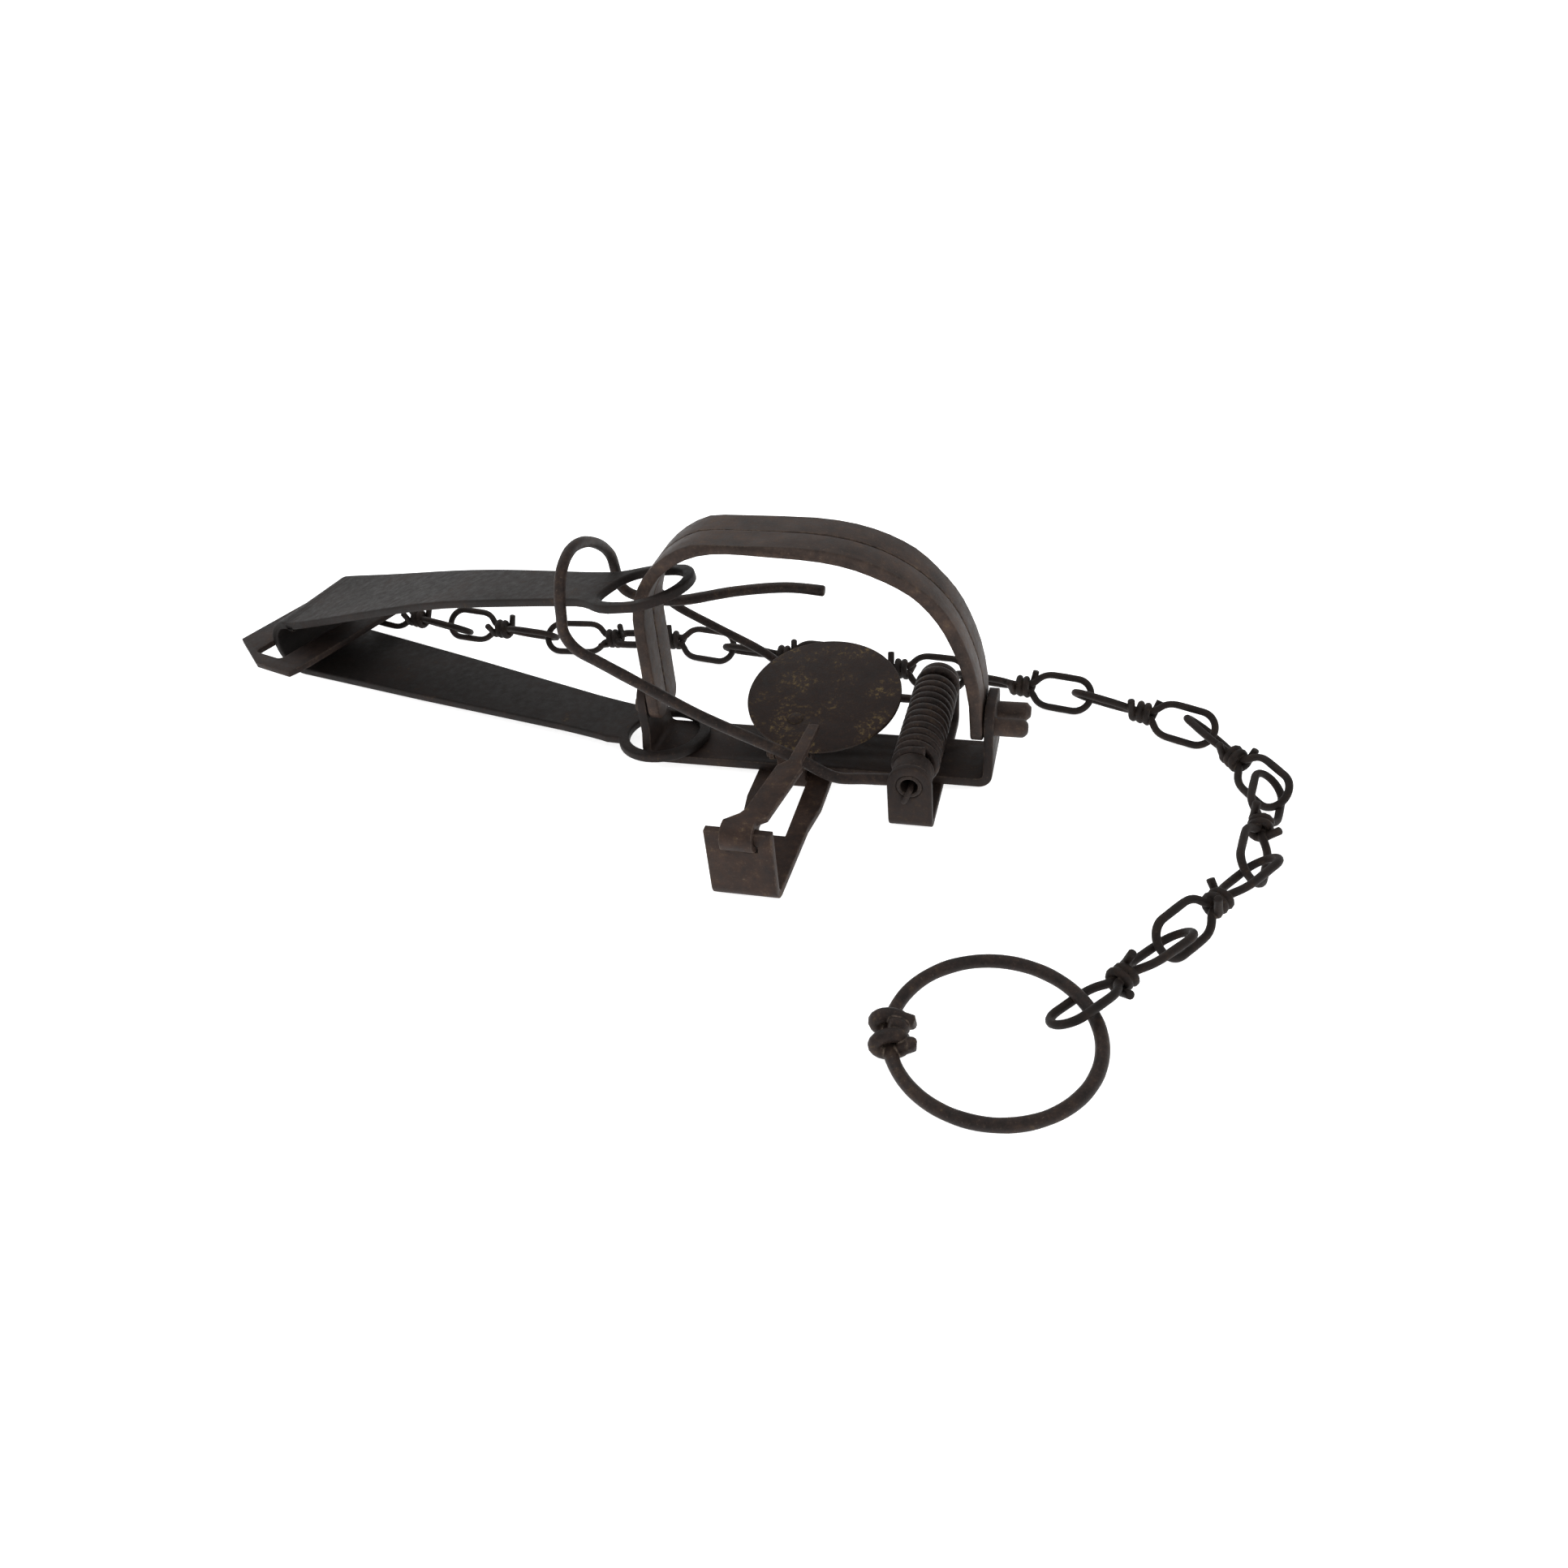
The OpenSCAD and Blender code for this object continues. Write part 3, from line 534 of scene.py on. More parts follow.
@dataclass
class BaseFrame:
    """Base strip with its posts, cross with the dog bracket, coil bracket and rivets."""

    strip_ease: float = 0.5
    sheet_ease: float = 0.35
    coil_x: float = 33.2
    coil_z: float = 14.5
    lug_near: float = -28.6

    def build(self, finishes: Finishes) -> None:
        """Eases the pressed strips' edges and dresses them.

        Args:
            finishes: The trap's finishes.
        """
        for node, ease in (("base_strip", self.strip_ease), ("dog_cross", self.sheet_ease),
                           ("coil_bracket", self.sheet_ease)):
            finish = finishes.dog if node == "dog_cross" else finishes.strip
            dress(eased(node, ease), finish, Slot.STRIP, "base", node)
        dress(eased("base_rivets", 0.15), finishes.pin, Slot.PIN, "base", "base_rivets")
        dress(eased("coil_tube", 0.2), finishes.pin, Slot.PIN, "base", "coil_tube")
        # The wire that runs through the tube, turned down over the near lug
        face = self.lug_near
        maker = MeshMaker()
        run = ((0.5, 8, -1.2), (0.3, 1.5, -1.1), (0.1, -0.5, -1.2), (-0.5, -1.0, -2.6), (-1.3, -0.9, -4.2))
        path = [Vector((self.coil_x + x, face + y, self.coil_z + z)) for x, y, z in run]
        maker.tube(curve_through(path, 5), 0.8, 12, wobble=0.08, nose=0.8)
        dress(maker.piece("coil_locking_wire"), finishes.pin, Slot.PIN, "base")


@dataclass
class Jaws:
    """The two arched jaws with their turned tips."""

    ease: float = 0.6
    springing: float = 32.0
    crown: float = 73.0
    top: float = 73.19
    left: tuple[float, float, float] = (-27.0, 15.0, 2.1)
    right: tuple[float, float, float] = (34.0, 18.0, -0.9)
    drawn_in: float = 1.5
    drawn_at: float = 44.0
    drawn_reach: float = 20.0
    drawn_from: float = 24.0
    drawn_over: float = 22.0

    def worn(self, made: bpy.types.Object) -> None:
        """Lifts the arch's left shoulder, and lowers its right one and draws it in, all under the top.

        Args:
            made: The jaw, in metres.
        """
        for vert in made.data.vertices:
            x, z = vert.co.x / MM, vert.co.z / MM
            share = min(1.0, max(0.0, (z - self.springing) / (self.crown - self.springing)))
            share = share * share * (3 - 2 * share)
            moved = sum(by * math.exp(-(((x - middle) / reach) ** 2))
                        for middle, reach, by in (self.left, self.right))
            inward = (self.drawn_in * math.exp(-(((x - self.drawn_at) / self.drawn_reach) ** 2))
                      * min(1.0, max(0.0, (z - self.drawn_from) / self.drawn_over)))
            vert.co.z = min(vert.co.z + moved * share * MM, self.top * MM)
            vert.co.x -= inward * MM

    def build(self, finishes: Finishes) -> None:
        """Eases the jaws' edges, which the legs of many catches have rubbed.

        Args:
            finishes: The trap's finishes.
        """
        for side in ("front", "back"):
            made = eased(f"jaw_{side}", self.ease, 3)
            self.worn(made)
            dress(made, finishes.jaw, Slot.STRIP, f"{side}_jaw", f"jaw_{side}")


@dataclass
class LongSpring:
    """One strip with an eye at each end, folded in the middle."""

    eye_x: float = -46.2
    eye_y: float = -0.4
    yaw: float = 17.2
    length: float = 147.5
    thick: float = 2.5
    fold_r: float = 12.0
    lower_eye_z: float = 6.2
    upper_eye_z: float = 55.5
    upper_eye_x: float = -2.6
    eye_r: float = 14.0
    hole_r: float = 10.8
    drawn_hole: float = 3.0
    shoulder: tuple[tuple[float, float], ...] = ((4, 13.9), (8, 13.3), (11, 12.2), (14, 10.8), (17, 9.8))
    neck_half: float = 9.3
    waist_half: float = 13.0
    bend_half: float = 15.6
    camber: float = 1.5
    twist: float = 4.0
    ease: float = 0.5

    def half_width(self, along: float) -> float:
        """Tells how wide the strip is.

        Args:
            along: Distance from the middle of an eye.

        Returns:
            The strip's half width there.
        """
        waist = 0.62 * self.length
        if along < 20:
            return self.neck_half + 0.011 * (20 - along) ** 2
        if along < 34:
            return self.neck_half + 0.3 * ((along - 20) / 14) ** 2
        if along < waist:
            low = self.neck_half + 0.3
            return low + (self.waist_half - low) * (along - 34) / (waist - 34)
        share = min(1.0, (along - waist) / (self.length - waist))
        return self.waist_half + (self.bend_half - self.waist_half) * share

    def outline(self, span: float) -> list[tuple[float, float]]:
        """Returns the strip's outline when it is laid out flat.

        Args:
            span: Distance between the middles of the two eyes along the strip.

        Returns:
            Its points, anticlockwise.
        """
        half = span / 2
        side: list[tuple[float, float]] = []
        first = 38.0
        for k in range(19):
            angle = math.radians(180 - (180 - first) * k / 18)
            side.append((self.eye_r * math.cos(angle), -self.eye_r * math.sin(angle)))
        for along in (15.5, 18, 22, 28, 34, 50, 70, 0.62 * self.length, 120, self.length, half):
            side.append((along, -self.half_width(along)))
        # The upper eye is longer towards the bend than the lower one, and so is its hole
        shoulder = [(along, -across) for along, across in self.shoulder] + [(20, -self.half_width(20))]
        upper_side = side[:10] + shoulder + [point for point in side[19:] if point[0] > 20]
        mirrored = [(span - x, y) for x, y in reversed(upper_side[:-1])]
        lower = side + mirrored
        return lower + [(x, -y) for x, y in reversed(lower[1:-1])]

    def stretches(self) -> tuple[float, float, float, float, float]:
        """Works out how the strip runs from eye to eye.

        Returns:
            The fall of the lower leaf and the rise of the upper one in radians, and the lengths of the
            lower leaf, the bend and the upper leaf along the strip.
        """
        radius = self.fold_r - self.thick / 2
        fall = math.atan((self.lower_eye_z - self.thick / 2) / self.length)
        rise = 0.2
        for _ in range(20):
            start = (self.length + math.sin(rise) * radius, self.fold_r + math.cos(rise) * radius)
            rise = math.atan((self.upper_eye_z - start[1]) / (start[0] - self.upper_eye_x))
        high = (self.length + math.sin(rise) * radius - self.upper_eye_x) / math.cos(rise)
        return fall, rise, self.length / math.cos(fall), radius * (math.pi + fall + rise), high

    def bend(self, along: float, across: float, above: float) -> Vector:
        """Folds a point of the flat strip into its place.

        Args:
            along: Distance from the middle of the lower eye.
            across: Distance from the strip's middle line.
            above: Distance from the mid-thickness, on the fold's outer side.

        Returns:
            The point in the trap's frame.
        """
        radius = self.fold_r - self.thick / 2
        fall, rise, low, arc, high = self.stretches()
        middle = Vector((self.length, 0, self.fold_r))
        if along < low:
            share = along / low
            drop = (self.thick / 2 - self.lower_eye_z) * share
            point = Vector((self.length * share, 0, self.lower_eye_z + drop))
            normal = Vector((-math.sin(fall), 0, -math.cos(fall)))
        elif along < low + arc:
            turn = -math.pi / 2 - fall + (along - low) / radius
            normal = Vector((math.cos(turn), 0, math.sin(turn)))
            point = middle + normal * radius
        else:
            normal = Vector((math.sin(rise), 0, math.cos(rise)))
            out = along - low - arc
            point = middle + normal * radius + Vector((-math.cos(rise), 0, math.sin(rise))) * out
            above += self.camber * math.sin(math.pi * min(1.0, out / high)) ** 2
        # The bend isn't quite square to the strip, so the upper leaf leaves it with a slight wind
        wind = (min(1.0, max(0.0, (along - low) / arc))
                * max(0.0, 1 - max(0.0, along - low - arc) / (0.5 * high)))
        point = point + normal * above
        point.z += self.twist * wind * (across / (2 * self.bend_half) - 0.5)
        yaw = math.radians(180 - self.yaw)
        x, y = point.x, -across
        return Vector((self.eye_x + x * math.cos(yaw) - y * math.sin(yaw),
                       self.eye_y + x * math.sin(yaw) + y * math.cos(yaw), point.z))

    def build(self, finishes: Finishes) -> None:
        """Cuts the strip out flat, rounds its edges and folds it.

        Args:
            finishes: The trap's finishes.
        """
        _, _, low, arc, high = self.stretches()
        span = low + arc + high
        curve = bpy.data.curves.new("spring_outline", "CURVE")
        curve.dimensions = "2D"
        curve.fill_mode = "BOTH"
        curve.extrude = self.thick / 2 - self.ease
        curve.bevel_depth = self.ease
        curve.bevel_resolution = 2
        curve.offset = -self.ease
        loops = [self.outline(span)]
        for middle, drawn in ((0.0, 0.0), (span, self.drawn_hole)):
            loop: list[tuple[float, float]] = []
            for k in range(48):
                across, along = math.sin(math.tau * k / 48), math.cos(math.tau * k / 48)
                if drawn and along < 0:
                    along = -(1 + drawn / self.hole_r) * abs(along) ** (2 / 3)
                    across = math.copysign(abs(across) ** (2 / 3), across)
                loop.append((middle + self.hole_r * along, self.hole_r * across))
            loops.append(loop)
        for loop in loops:
            spline = curve.splines.new("POLY")
            spline.points.add(len(loop) - 1)
            for point, (x, y) in zip(spline.points, loop):
                point.co = (x, y, 0, 1)
            spline.use_cyclic_u = True
        flat = bpy.data.objects.new("spring_outline", curve)
        bpy.context.scene.collection.objects.link(flat)
        bpy.context.view_layer.update()
        mesh = bpy.data.meshes.new_from_object(flat.evaluated_get(bpy.context.evaluated_depsgraph_get()))
        bpy.data.objects.remove(flat)
        work = bmesh.new()
        work.from_mesh(mesh)
        bmesh.ops.remove_doubles(work, verts=work.verts, dist=0.001)
        cuts = [low - 10 + (arc + 20) * k / 44 for k in range(45)] + [16 + 11 * k for k in range(11)]
        cuts += [low + arc + 12 + 10 * k for k in range(13)]
        for cut in sorted(cuts):
            bmesh.ops.bisect_plane(work, geom=work.verts[:] + work.edges[:] + work.faces[:],
                                   plane_co=(cut, 0, 0), plane_no=(1, 0, 0))
        for vert in work.verts:
            vert.co = self.bend(vert.co.x, vert.co.y, vert.co.z) * MM
        work.to_mesh(mesh)
        work.free()
        made = finished("long_spring_strip", mesh, 40)
        dress(made, finishes.spring, Slot.STRIP, "", "spring_lower_leaf", "spring_upper_leaf")
        foot = self.bend(low + arc / 2, 0, 0) * MM
        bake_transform(made)


@dataclass
class DogAndPan:
    """The dog on its bracket, and the pan with its shank, rivet and pin."""

    sheet_ease: float = 0.3
    shank_ease: float = 0.2
    pin_ease: float = 0.15

    def build(self, finishes: Finishes) -> None:
        """Builds and dresses the trigger's pieces.

        Args:
            finishes: The trap's finishes.
        """
        dress(eased("dog", self.sheet_ease), finishes.dog, Slot.STRIP, "trigger_dog", "dog")
        dress(eased("pan", self.sheet_ease, 3), finishes.pan, Slot.PAN, "pan_unit", "pan")
        dress(eased("pan_shank", self.shank_ease), finishes.dog, Slot.PAN, "pan_unit", "pan_shank")
        dress(eased("pan_rivet", self.pin_ease), finishes.pan, Slot.PIN, "pan_unit", "pan_rivet")
        dress(eased("pan_pin", self.pin_ease), finishes.pin, Slot.PIN, "pan_unit", "pan_pin")


@dataclass
class WireGuard:
    """The guard's wire with its bow, its collar and the coil spring that lifts it."""

    coil_x: float = 33.2
    coil_z: float = 14.5
    coil_r: float = 5.3
    coil_wire: float = 2.6
    coil_pitch: float = 3.1
    coil_turns: float = 12.5
    wire: float = 3.2
    eye_y: float = 22.575
    arm: tuple[Point, ...] = (
        (28.9, -23.3, 12.7), (20, -24, 12.7), (12, -24.5, 12.9), (3, -24.5, 17.6), (-5, -24, 20.8),
        (-25, -20.8, 27), (-41, -18.4, 33.8), (-54, -17, 40), (-61, -16.4, 43.6), (-64, -16.2, 48.5))
    bow: tuple[Point, ...] = (
        (-63.8, -15.9, 54), (-63.7, -14.7, 59.2), (-63.6, -12.2, 63.6), (-63.5, -8.0, 66.6),
        (-63.4, -2.5, 67.6), (-63.2, 4.0, 66.3), (-63, 10.2, 63.4), (-62.7, 15.6, 59.4), (-62.3, 18.9, 55))
    tail: tuple[Point, ...] = (
        (-62.4, 20.3, 50), (-62.2, 20.6, 45.5), (-59.2, 21, 41.8), (-52, 21.8, 39.6), (-43, 22, 39.7),
        (-26, 22, 43.4), (-10.7, 22, 45.3), (0.4, 22, 44.7))
    leg: tuple[Point, ...] = (
        (27, 22.68, 9.2), (12, 23.48, 9.2), (-4, 24.68, 10.2), (-12, 25.18, 14.2), (-21, 25.18, 21.6),
        (-36, 25.18, 29.8), (-46, 25.18, 35.4), (-50.6, 25.08, 39.6), (-52.2, 23.68, 42.8),
        (-52.3, 21.18, 43.6))

    def round_the_axis(self, degrees: float, y: float) -> Vector:
        """Returns a point of the coil at an angle in degrees and a place along its axis."""
        return Vector((self.coil_x + self.coil_r * math.cos(math.radians(degrees)), y,
                       self.coil_z + self.coil_r * math.sin(math.radians(degrees))))

    def build(self, finishes: Finishes) -> None:
        """Winds the coil, bends the wires and dresses them.

        Args:
            finishes: The trap's finishes.
        """
        path = curve_through([vec(p) for p in self.arm + self.bow + self.tail], 6)
        maker = MeshMaker()
        maker.tube(path, self.wire / 2, 18, wobble=0.05, nose=0.35)
        dress(maker.piece("guard_wire"), finishes.wire, Slot.WIRE, "guard", "guard_frame")

        turn = [self.round_the_axis(a, self.eye_y) for a in range(-80, 271, 30)]
        maker = MeshMaker()
        maker.tube(curve_through(turn + [vec(p) for p in self.leg], 6), self.coil_wire / 2, 16,
                   wobble=0.04, nose=0.35)
        dress(maker.piece("guard_lifting_leg"), finishes.wire, Slot.WIRE, "guard", "guard_spring_leg")

        start = -self.coil_pitch * self.coil_turns / 2
        helix = [self.round_the_axis(90 + 360 * t / 32, start + self.coil_pitch * t / 32)
                 for t in range(int(self.coil_turns * 32) + 1)]
        aside = Vector((self.coil_wire, 0, 0))
        maker = MeshMaker()
        maker.tube([helix[0] + aside] + helix + [helix[-1] + aside], self.coil_wire / 2, 14,
                   wobble=0.05, nose=0.3)
        dress(maker.piece("coil_winding"), finishes.wire, Slot.WIRE, "base", "guard_coil")
        dress(eased("guard_collar", 0.4), finishes.pin, Slot.WIRE, "guard", "guard_collar")


@dataclass
class LinkShape:
    """Sizes of a wire link: two loops from one wire, its ends wrapped round the middle."""

    wire_r: float = 1.05
    reach: float = 22.1
    half_gap: float = 4.9

    def loop(self, maker: MeshMaker, matrix: Matrix, more: float = 0.0) -> None:
        """Adds one loop that runs out along +X from the knot and back.

        Args:
            maker: Collects the faces.
            matrix: Takes the loop to its place on the trap.
            more: How much longer the loop is than a plain link's.
        """
        end = self.reach + more - self.wire_r - self.half_gap
        bow = [Vector((end + self.half_gap * math.cos(math.radians(a)),
                       self.half_gap * math.sin(math.radians(a)), 0)) for a in range(-90, 91, 15)]
        neck = [Vector((x, -y, 0)) for x, y in ((-1.5, 1.06), (1.6, 1.1), (3.2, 1.6), (5.2, 3.7), (7.6, 4.75),
                                               (11.0, 4.9), (end - 1.6, 4.9))]
        back = [Vector((p.x, -p.y, 0)) for p in reversed(neck)]
        first = len(maker.verts)
        maker.tube(curve_through(neck + bow + back, 3), self.wire_r, 12, wobble=0.06, nose=0.3)
        maker.transformed(matrix, first)

    def knot(self, maker: MeshMaker, matrix: Matrix, seed: float, wraps: float = 2.5) -> None:
        """Adds the wire's two ends, wrapped round the middle and shorn off so that both stubs stick up.

        Args:
            maker: Collects the faces.
            matrix: Takes the knot to its place on the trap.
            seed: Turns the wraps, so that no two knots look alike.
            wraps: The number of turns.
        """
        first = len(maker.verts)
        steps = int(wraps * 14)
        radius = 2.3
        half = wraps * self.wire_r
        start = 180 + 110 * noise.noise(Vector((seed, 0.3, 0.7)))
        path = []
        for k in range(steps + 1):
            angle = math.radians(start + 360 * wraps * k / steps)
            path.append(Vector((-half + 2 * half * k / steps,
                                radius * math.cos(angle), radius * math.sin(angle))))
        for end, inward in ((0, 1), (-1, -1)):
            outward = (path[end] - path[end + inward]).normalized()
            radial = Vector((0, path[end].y, path[end].z)).normalized()
            stub = [path[end] + outward * d + radial * d * 0.12 for d in (0.9, 1.9, 2.9, 3.7)]
            path = (stub[::-1] + path) if inward > 0 else (path + stub)
        maker.tube(path, self.wire_r * 0.98, 12, wobble=0.08, nose=0.2)
        maker.transformed(matrix, first)


@dataclass
class Chain:
    """Chain plate, wire links, swivel and end ring."""

    shape: LinkShape = field(default_factory=LinkShape)
    knots: tuple[tuple[float, float], ...] = (
        (-161.202, 58.874), (-127.4, 55.2), (-84.6, 56.2), (-62.2, 57.4), (-22, 50.3), (17.6, 47.3),
        (56.9, 42.2), (95.5, 30.5), (123, 14.5), (128.5, -21.5), (110.5, -53.2), (89.4, -80.5))
    gap: float = 0.3
    lean: float = 50.0
    leaning_back: tuple[int, ...] = (10, 11)
    ring_lean: float = 34.0
    start_z: float = 10.546
    end_z: float = 4.454
    rest_z: float = 4.954
    eye_more: float = 3.1
    stem_more: float = 1.1
    ring_c: tuple[float, float] = (63.8, -101.6)
    ring_r: float = 23.4
    ring_wire: float = 1.6
    ring_lift: float = 1.9
    ring_raised: float = 0.75
    wrap_at: float = 149.0
    pulled_by: float = 0.04
    pulled_at: float = 8.0

    def knot(self, i: int) -> Vector:
        """Returns the place of knot i in plan."""
        return Vector((*self.knots[i], 0))

    def hook(self, i: int) -> Vector:
        """Tells where a link is hooked to the one before it; a taut joint is half a pitch from its knot.

        Args:
            i: Number of the link.

        Returns:
            The place of the hook.
        """
        before, here = self.knot(i - 1), self.knot(i)
        half_pitch = self.shape.reach - 2 * self.shape.wire_r - self.gap / 2
        if i in (1, 4):
            return here - half_pitch * (here - before).normalized()
        if i == 2:
            return before + half_pitch * (here - before).normalized()
        return (before + here) / 2

    def centre(self, i: int) -> Vector:
        """Returns the middle of link i in plan."""
        return self.knot(i) if i in (0, 2, 3, 11) else (self.hook(i) + self.hook(i + 1)) / 2

    def rolls(self, i: int) -> tuple[float, float]:
        """Tells how the two loops that meet at a hook are rolled.

        Args:
            i: Number of the hook.

        Returns:
            Their rolls in degrees, the earlier link's first.
        """
        if i < 4:
            return self.lean - 90, self.lean
        if i in self.leaning_back:
            return -self.lean, 90 - self.lean
        return self.lean, self.lean - 90

    def aside(self, i: int, roll: float) -> Vector:
        """Returns how far a loop hangs to one side in the loop before it.

        Args:
            i: Number of the knot.
            roll: Roll of the loop in radians.

        Returns:
            The step from the joint's middle; nothing where the chain is taut.
        """
        half = self.shape.half_gap
        past = 2 * (self.shape.reach - self.shape.wire_r) - (self.centre(i) - self.centre(i - 1)).length
        past += self.stem_more if i == 4 else 0.0
        near, far = half - past, half - 2 * self.shape.wire_r - self.gap
        if near >= far:
            return Vector((0, 0, 0))
        slack = math.sqrt(far ** 2 - max(near, 0.0) ** 2)
        if i >= 5:
            coming = self.hook(i) - self.hook(i - 1)
            going = (self.knot(11) if i == 11 else self.hook(i + 1)) - self.hook(i)
            turn = math.atan2(coming.y, coming.x) - math.atan2(going.y, going.x)
            slack += past / 2 * math.sin(turn) * math.copysign(math.cos(roll), roll)
        slack = math.copysign(slack, roll)
        step = self.knot(i) - self.knot(i - 1)
        side = Vector((-step.y, step.x, 0)).normalized() * math.cos(roll)
        return slack * (side + Vector((0, 0, math.sin(roll))))

    def link(self, number: int, back: Vector, ahead: Vector, roll_back: float, roll_ahead: float,
             finish: bpy.types.Material) -> None:
        """Makes one whole link between two hooking points.

        Args:
            number: The link's number in the chain, from 1.
            back: Hooking point on the chain plate's side.
            ahead: Hooking point on the ring's side.
            roll_back: Roll of the rear loop, in degrees.
            roll_ahead: Roll of the front loop, in degrees.
            finish: The link's finish.
        """
        d = ahead - back
        matrix = (Matrix.Translation((back + ahead) / 2) @ Matrix.Rotation(math.atan2(d.y, d.x), 4, "Z")
                  @ Matrix.Rotation(math.atan2(-d.z, math.hypot(d.x, d.y)), 4, "Y"))
        maker = MeshMaker()
        self.shape.loop(maker, matrix @ Matrix.Rotation(math.radians(roll_ahead), 4, "X"))
        turned = Matrix.Rotation(math.pi, 4, "Z")
        self.shape.loop(maker, matrix @ Matrix.Rotation(math.radians(roll_back), 4, "X") @ turned)
        self.shape.knot(maker, matrix, number * 1.7)
        name = f"chain_link_{number:02d}"
        dress(maker.piece(name + "_wire"), finish, Slot.CHAIN, f"link_{number:02d}", name)

    def build(self, finishes: Finishes) -> None:
        """Makes and dresses every piece of the chain.

        Args:
            finishes: The trap's finishes.
        """
        dress(eased("chain_plate", 0.35), finishes.strip, Slot.CHAIN, "plate", "chain_plate")
        up = Vector((0, 0, 1))
        ahead = self.hook(1)
        middle = (self.start_z + self.end_z) / 2
        fall = ((self.start_z - self.end_z) / 2 * (ahead - self.knot(0)).length
                / (self.shape.reach - self.shape.wire_r))
        self.link(1, 2 * self.knot(0) - ahead + up * (middle + fall), ahead + up * (middle - fall),
                  self.lean, self.rolls(1)[0], finishes.chain)
        self.link(2, self.hook(1) + up * (self.end_z + 0.3) + self.aside(1, math.radians(self.lean)),
                  self.hook(2) + up * self.rest_z, self.rolls(1)[1], self.rolls(2)[0], finishes.chain)
        for number in range(3, 11):
            i = number + 1
            roll = self.rolls(i)[1]
            ahead = 2 * self.knot(11) - self.hook(11) if i == 11 else self.hook(i + 1)
            self.link(number, self.hook(i) + up * self.rest_z + self.aside(i, math.radians(roll)),
                      ahead + up * self.rest_z, roll, self.ring_lean if i == 11 else self.rolls(i + 1)[0],
                      finishes.chain)
        self.swivel(finishes)
        self.end_ring(finishes)

    def swivel(self, finishes: Finishes) -> None:
        """Makes the two halves of the swivel link.

        Args:
            finishes: The trap's finishes.
        """
        a, b, c = (Vector((*self.knots[i], self.rest_z)) for i in (2, 3, 4))
        rolled = Matrix.Rotation(math.radians(self.lean), 4, "X")
        along = Matrix.Rotation(math.atan2(b.y - a.y, b.x - a.x), 4, "Z")
        rear = Matrix.Translation(a) @ along
        maker = MeshMaker()
        self.shape.loop(maker, rear @ rolled @ Matrix.Rotation(math.pi, 4, "Z"), self.eye_more)
        self.shape.knot(maker, rear, 31.3)
        first = len(maker.verts)
        frame = ((2.0, 1.2), (3.0, 3.4), (4.6, 3.9), (9.8, 3.9), (11.6, 3.4), (11.9, 1.9))
        for sign in (1, -1):
            maker.tube(curve_through([Vector((x, sign * y, 0)) for x, y in frame], 4), 1.2, 12, nose=0.3)
        maker.turned([(10.9, 1.42), (10.9, 2.3), (12.5, 2.3), (12.5, 1.42)], (0, 0, 0), (1, 0, 0), 24)
        maker.transformed(rear, first)
        dress(maker.piece("swivel_eye_wire"), finishes.chain, Slot.CHAIN, "swivel_rear", "swivel_eye")
        maker = MeshMaker()
        front = Matrix.Translation(b) @ Matrix.Rotation(math.atan2(c.y - b.y, c.x - b.x), 4, "Z") @ rolled
        self.shape.loop(maker, front, self.stem_more)
        self.shape.knot(maker, Matrix.Translation(b) @ along, 47.9, 1.5)
        first = len(maker.verts)
        span = (b - a).length
        maker.turned([(8.4 - span, 1.6), (8.7 - span, 2.3), (10.3 - span, 2.5), (10.6 - span, 1.3), (0, 1.3)],
                     (0, 0, 0), (1, 0, 0), 24)
        maker.transformed(Matrix.Translation(b) @ along, first)
        dress(maker.piece("swivel_stem_wire"), finishes.chain, Slot.CHAIN, "swivel_front", "swivel_stem")

    def ring_point(self, degrees: float) -> Vector:
        """Tells where the ring's wire runs, a little pulled in across the way it has been tugged.

        Args:
            degrees: Angle round the ring.

        Returns:
            The centre line's point there.
        """
        pulled = 1 - self.pulled_by * (1 + math.cos(2 * math.radians(degrees - self.pulled_at))) / 2
        return self.ring_r * pulled * Vector((math.cos(math.radians(degrees)),
                                              math.sin(math.radians(degrees)), 0))

    def end_ring(self, finishes: Finishes) -> None:
        """Makes the end ring, whose wire ends are each wrapped round it, side by side.

        Args:
            finishes: The trap's finishes.
        """
        catch = math.atan2(self.knots[11][1] - self.ring_c[1], self.knots[11][0] - self.ring_c[0])
        tilt = math.asin(self.ring_lift / (2 * self.ring_r))
        height = self.ring_wire + self.ring_lift / 2 + self.ring_raised
        matrix = (Matrix.Translation((*self.ring_c, height))
                  @ Matrix.Rotation(catch, 4, "Z") @ Matrix.Rotation(-tilt, 4, "Y"))
        maker = MeshMaker()
        maker.tube([self.ring_point(360 * k / 96) for k in range(96)], self.ring_wire, 16,
                   closed=True, wobble=0.06)
        for at, turned in ((self.wrap_at - 7.5, 1), (self.wrap_at + 6.5, -1)):
            wrap = []
            for k in range(25):
                angle = math.radians(turned * (200 - 15 * k * 1.25))
                place = self.ring_point(at + turned * (k / 24 - 0.5) * 8)
                outward = Vector((place.x, place.y, 0)).normalized()
                swell = 1 + (0.55 if k < 2 else 0.0)
                wrap.append(place + outward * 3.1 * swell * math.cos(angle)
                            + Vector((0, 0, 1.35 + 1.95 * math.sin(angle))))
            maker.tube(wrap, self.ring_wire * 1.04, 14, wobble=0.08, nose=0.5)
        maker.transformed(matrix)
        dress(maker.piece("drag_ring_wire"), finishes.wire, Slot.CHAIN, "ring", "end_ring")


# ---- set -----------------------------------------------------------------------------------


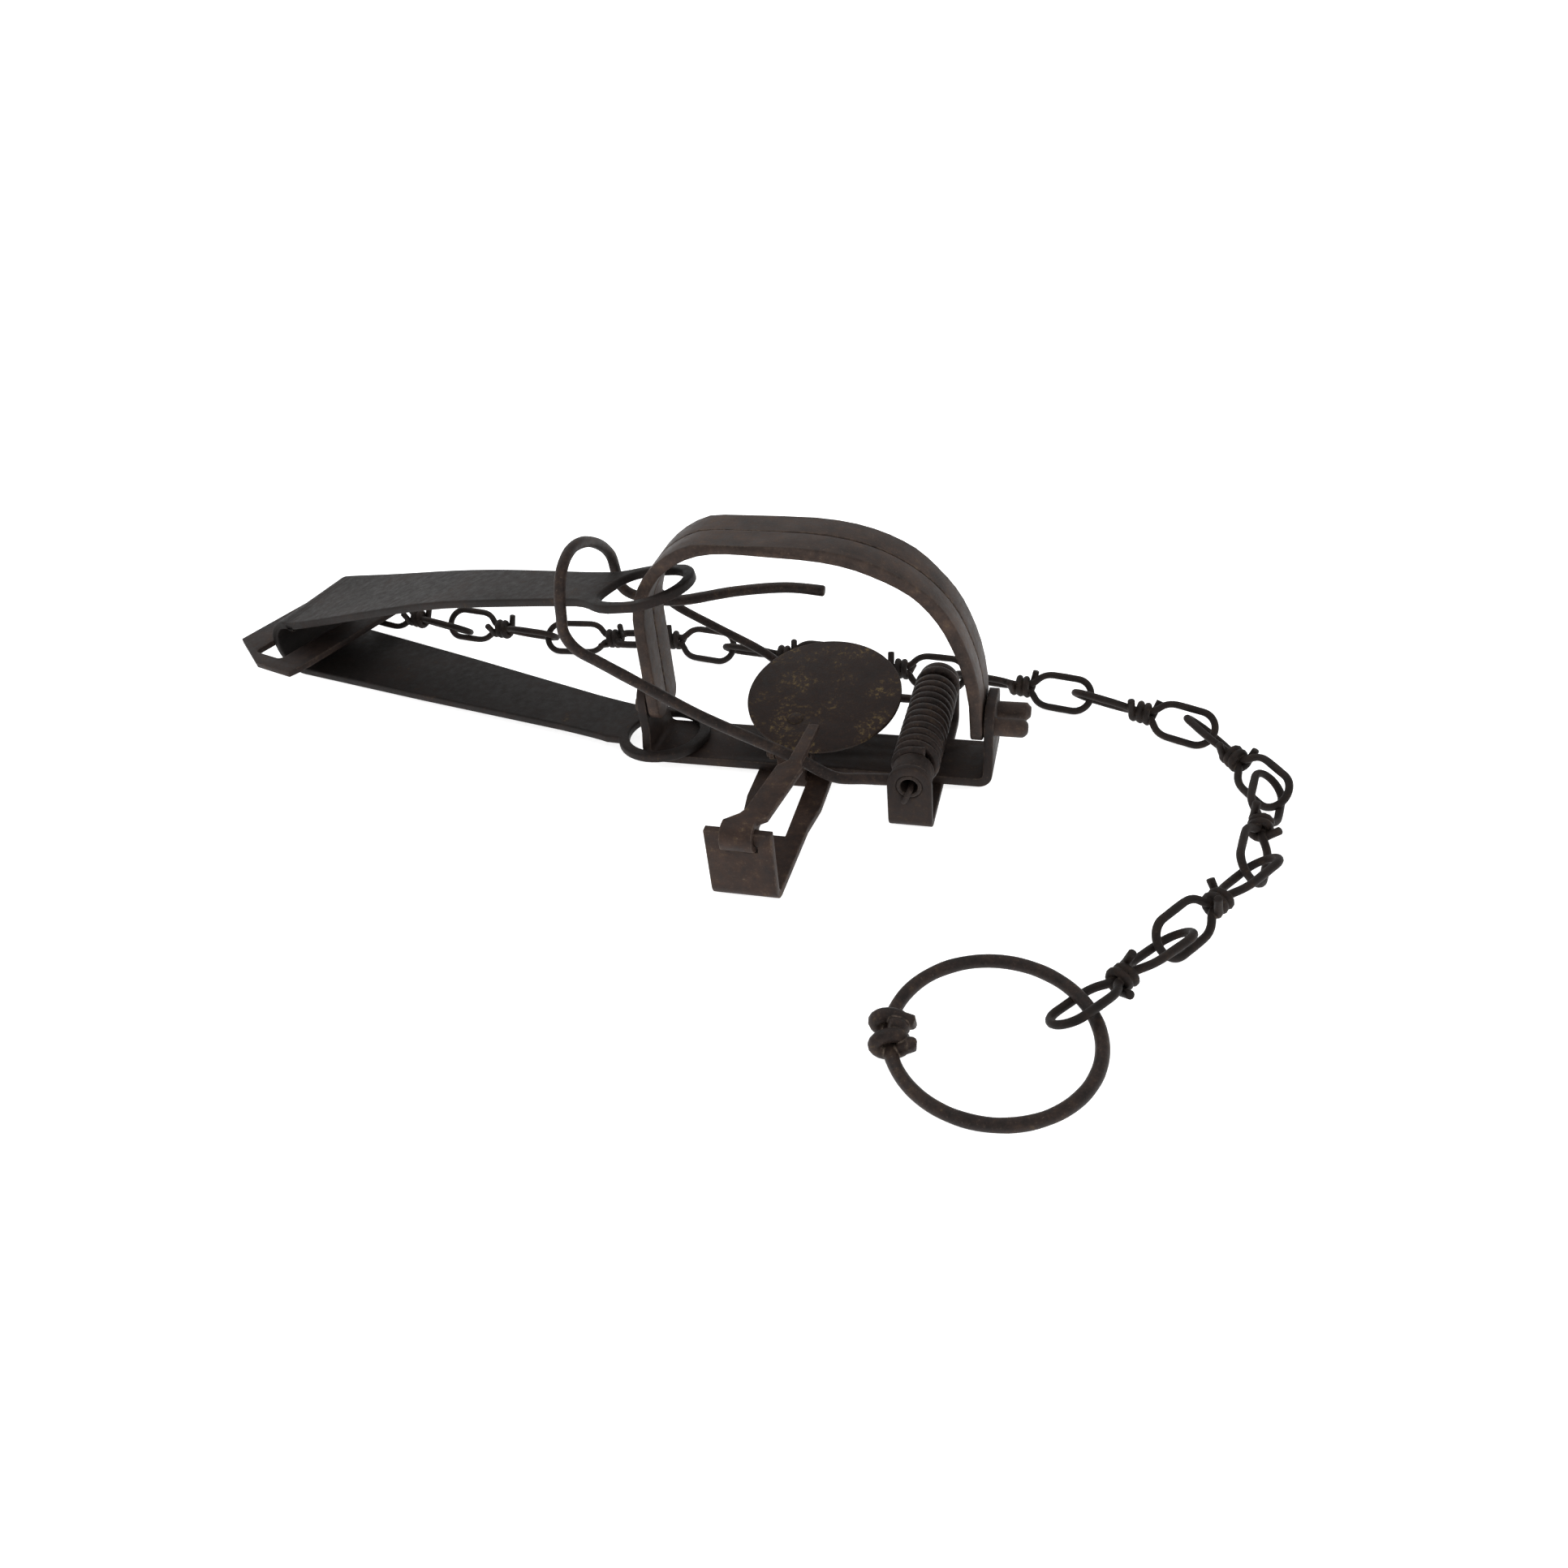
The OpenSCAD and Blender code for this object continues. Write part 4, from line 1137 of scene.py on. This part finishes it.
@dataclass
class Studio:
    """Camera, floor and light."""

    focal_px: float = 1500.0
    frame_px: float = 1932.0
    eye: Point = (81.106, -284.614, 206.494)
    pitch: float = 0.6257042514
    roll: float = 0.1047197551
    yaw: float = -0.3110288177
    floor_half: float = 80.0
    floor_glow: float = 0.8
    sky: float = 0.8
    lamps: tuple[tuple[str, Point, float, float], ...] = (
        ("window", (-0.5, 0.35, 0.75), 0.7, 1.8), ("fill", (0.6, -0.5, 0.8), 0.8, 0.6))

    def camera(self) -> None:
        """Makes the camera."""
        data = bpy.data.cameras.new("camera")
        data.sensor_width = 36.0
        data.sensor_fit = "HORIZONTAL"
        data.lens = 36.0 * self.focal_px / self.frame_px
        data.clip_start, data.clip_end = 0.01, 20.0
        ahead = Vector((math.sin(self.yaw) * math.cos(self.pitch), math.cos(self.yaw) * math.cos(self.pitch),
                        -math.sin(self.pitch)))
        right0 = Vector((math.cos(self.yaw), -math.sin(self.yaw), 0))
        down0 = ahead.cross(right0)
        right = math.cos(self.roll) * right0 + math.sin(self.roll) * down0
        down = -math.sin(self.roll) * right0 + math.cos(self.roll) * down0
        camera = bpy.data.objects.new("camera", data)
        axes = Matrix((right, -down, -ahead)).transposed().to_4x4()
        camera.matrix_world = Matrix.Translation(vec(self.eye) * MM) @ axes
        bpy.context.scene.collection.objects.link(camera)
        bpy.context.scene.camera = camera

    def floor(self) -> None:
        """Makes the pale floor."""
        mesh = bpy.data.meshes.new("floor")
        half = self.floor_half
        corners = [(-half, -half, 0), (half, -half, 0), (half, half, 0), (-half, half, 0)]
        mesh.from_pydata(corners, [], [(0, 1, 2, 3)])
        floor = bpy.data.objects.new("floor", mesh)
        bpy.context.scene.collection.objects.link(floor)
        material = bpy.data.materials.new("matt_white_paper")
        material.use_nodes = True
        shader = material.node_tree.nodes["Principled BSDF"]
        shader.inputs["Base Color"].default_value = linear("#f7f7f7")
        shader.inputs["Roughness"].default_value = 0.9
        # Glows a little, so that hardly a shadow shows
        shader.inputs["Emission Color"].default_value = linear("#ffffff")
        shader.inputs["Emission Strength"].default_value = self.floor_glow
        mesh.materials.append(material)

    def lights(self) -> None:
        """Makes the two soft lamps and the pale surround."""
        world = bpy.data.worlds.new("surround")
        world.use_nodes = True
        world.node_tree.nodes["Background"].inputs["Color"].default_value = linear("#ffffff")
        world.node_tree.nodes["Background"].inputs["Strength"].default_value = self.sky
        bpy.context.scene.world = world
        for name, place, size, power in self.lamps:
            data = bpy.data.lights.new(name, "AREA")
            data.shape = "SQUARE"
            data.size = size
            data.energy = power
            light = bpy.data.objects.new(name, data)
            light.location = place
            light.rotation_euler = (-Vector(place)).to_track_quat("-Z", "Y").to_euler()
            bpy.context.scene.collection.objects.link(light)
        bpy.context.scene.view_settings.view_transform = "Standard"


def main() -> None:
    """Builds the trap's pieces in order, and the studio round them."""
    logging.basicConfig(level=logging.INFO, format="%(name)s %(message)s")
    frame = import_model()
    FRAME_NODES.update({name: node.name for name, node in frame["nodes"].items()})
    studio = Studio()
    studio.camera()
    finishes = Finishes()
    for assembly in (BaseFrame(), Jaws(), LongSpring(), DogAndPan(), WireGuard(), Chain()):
        assembly.build(finishes)
    studio.floor()
    studio.lights()


if __name__ == "__main__":
    main()
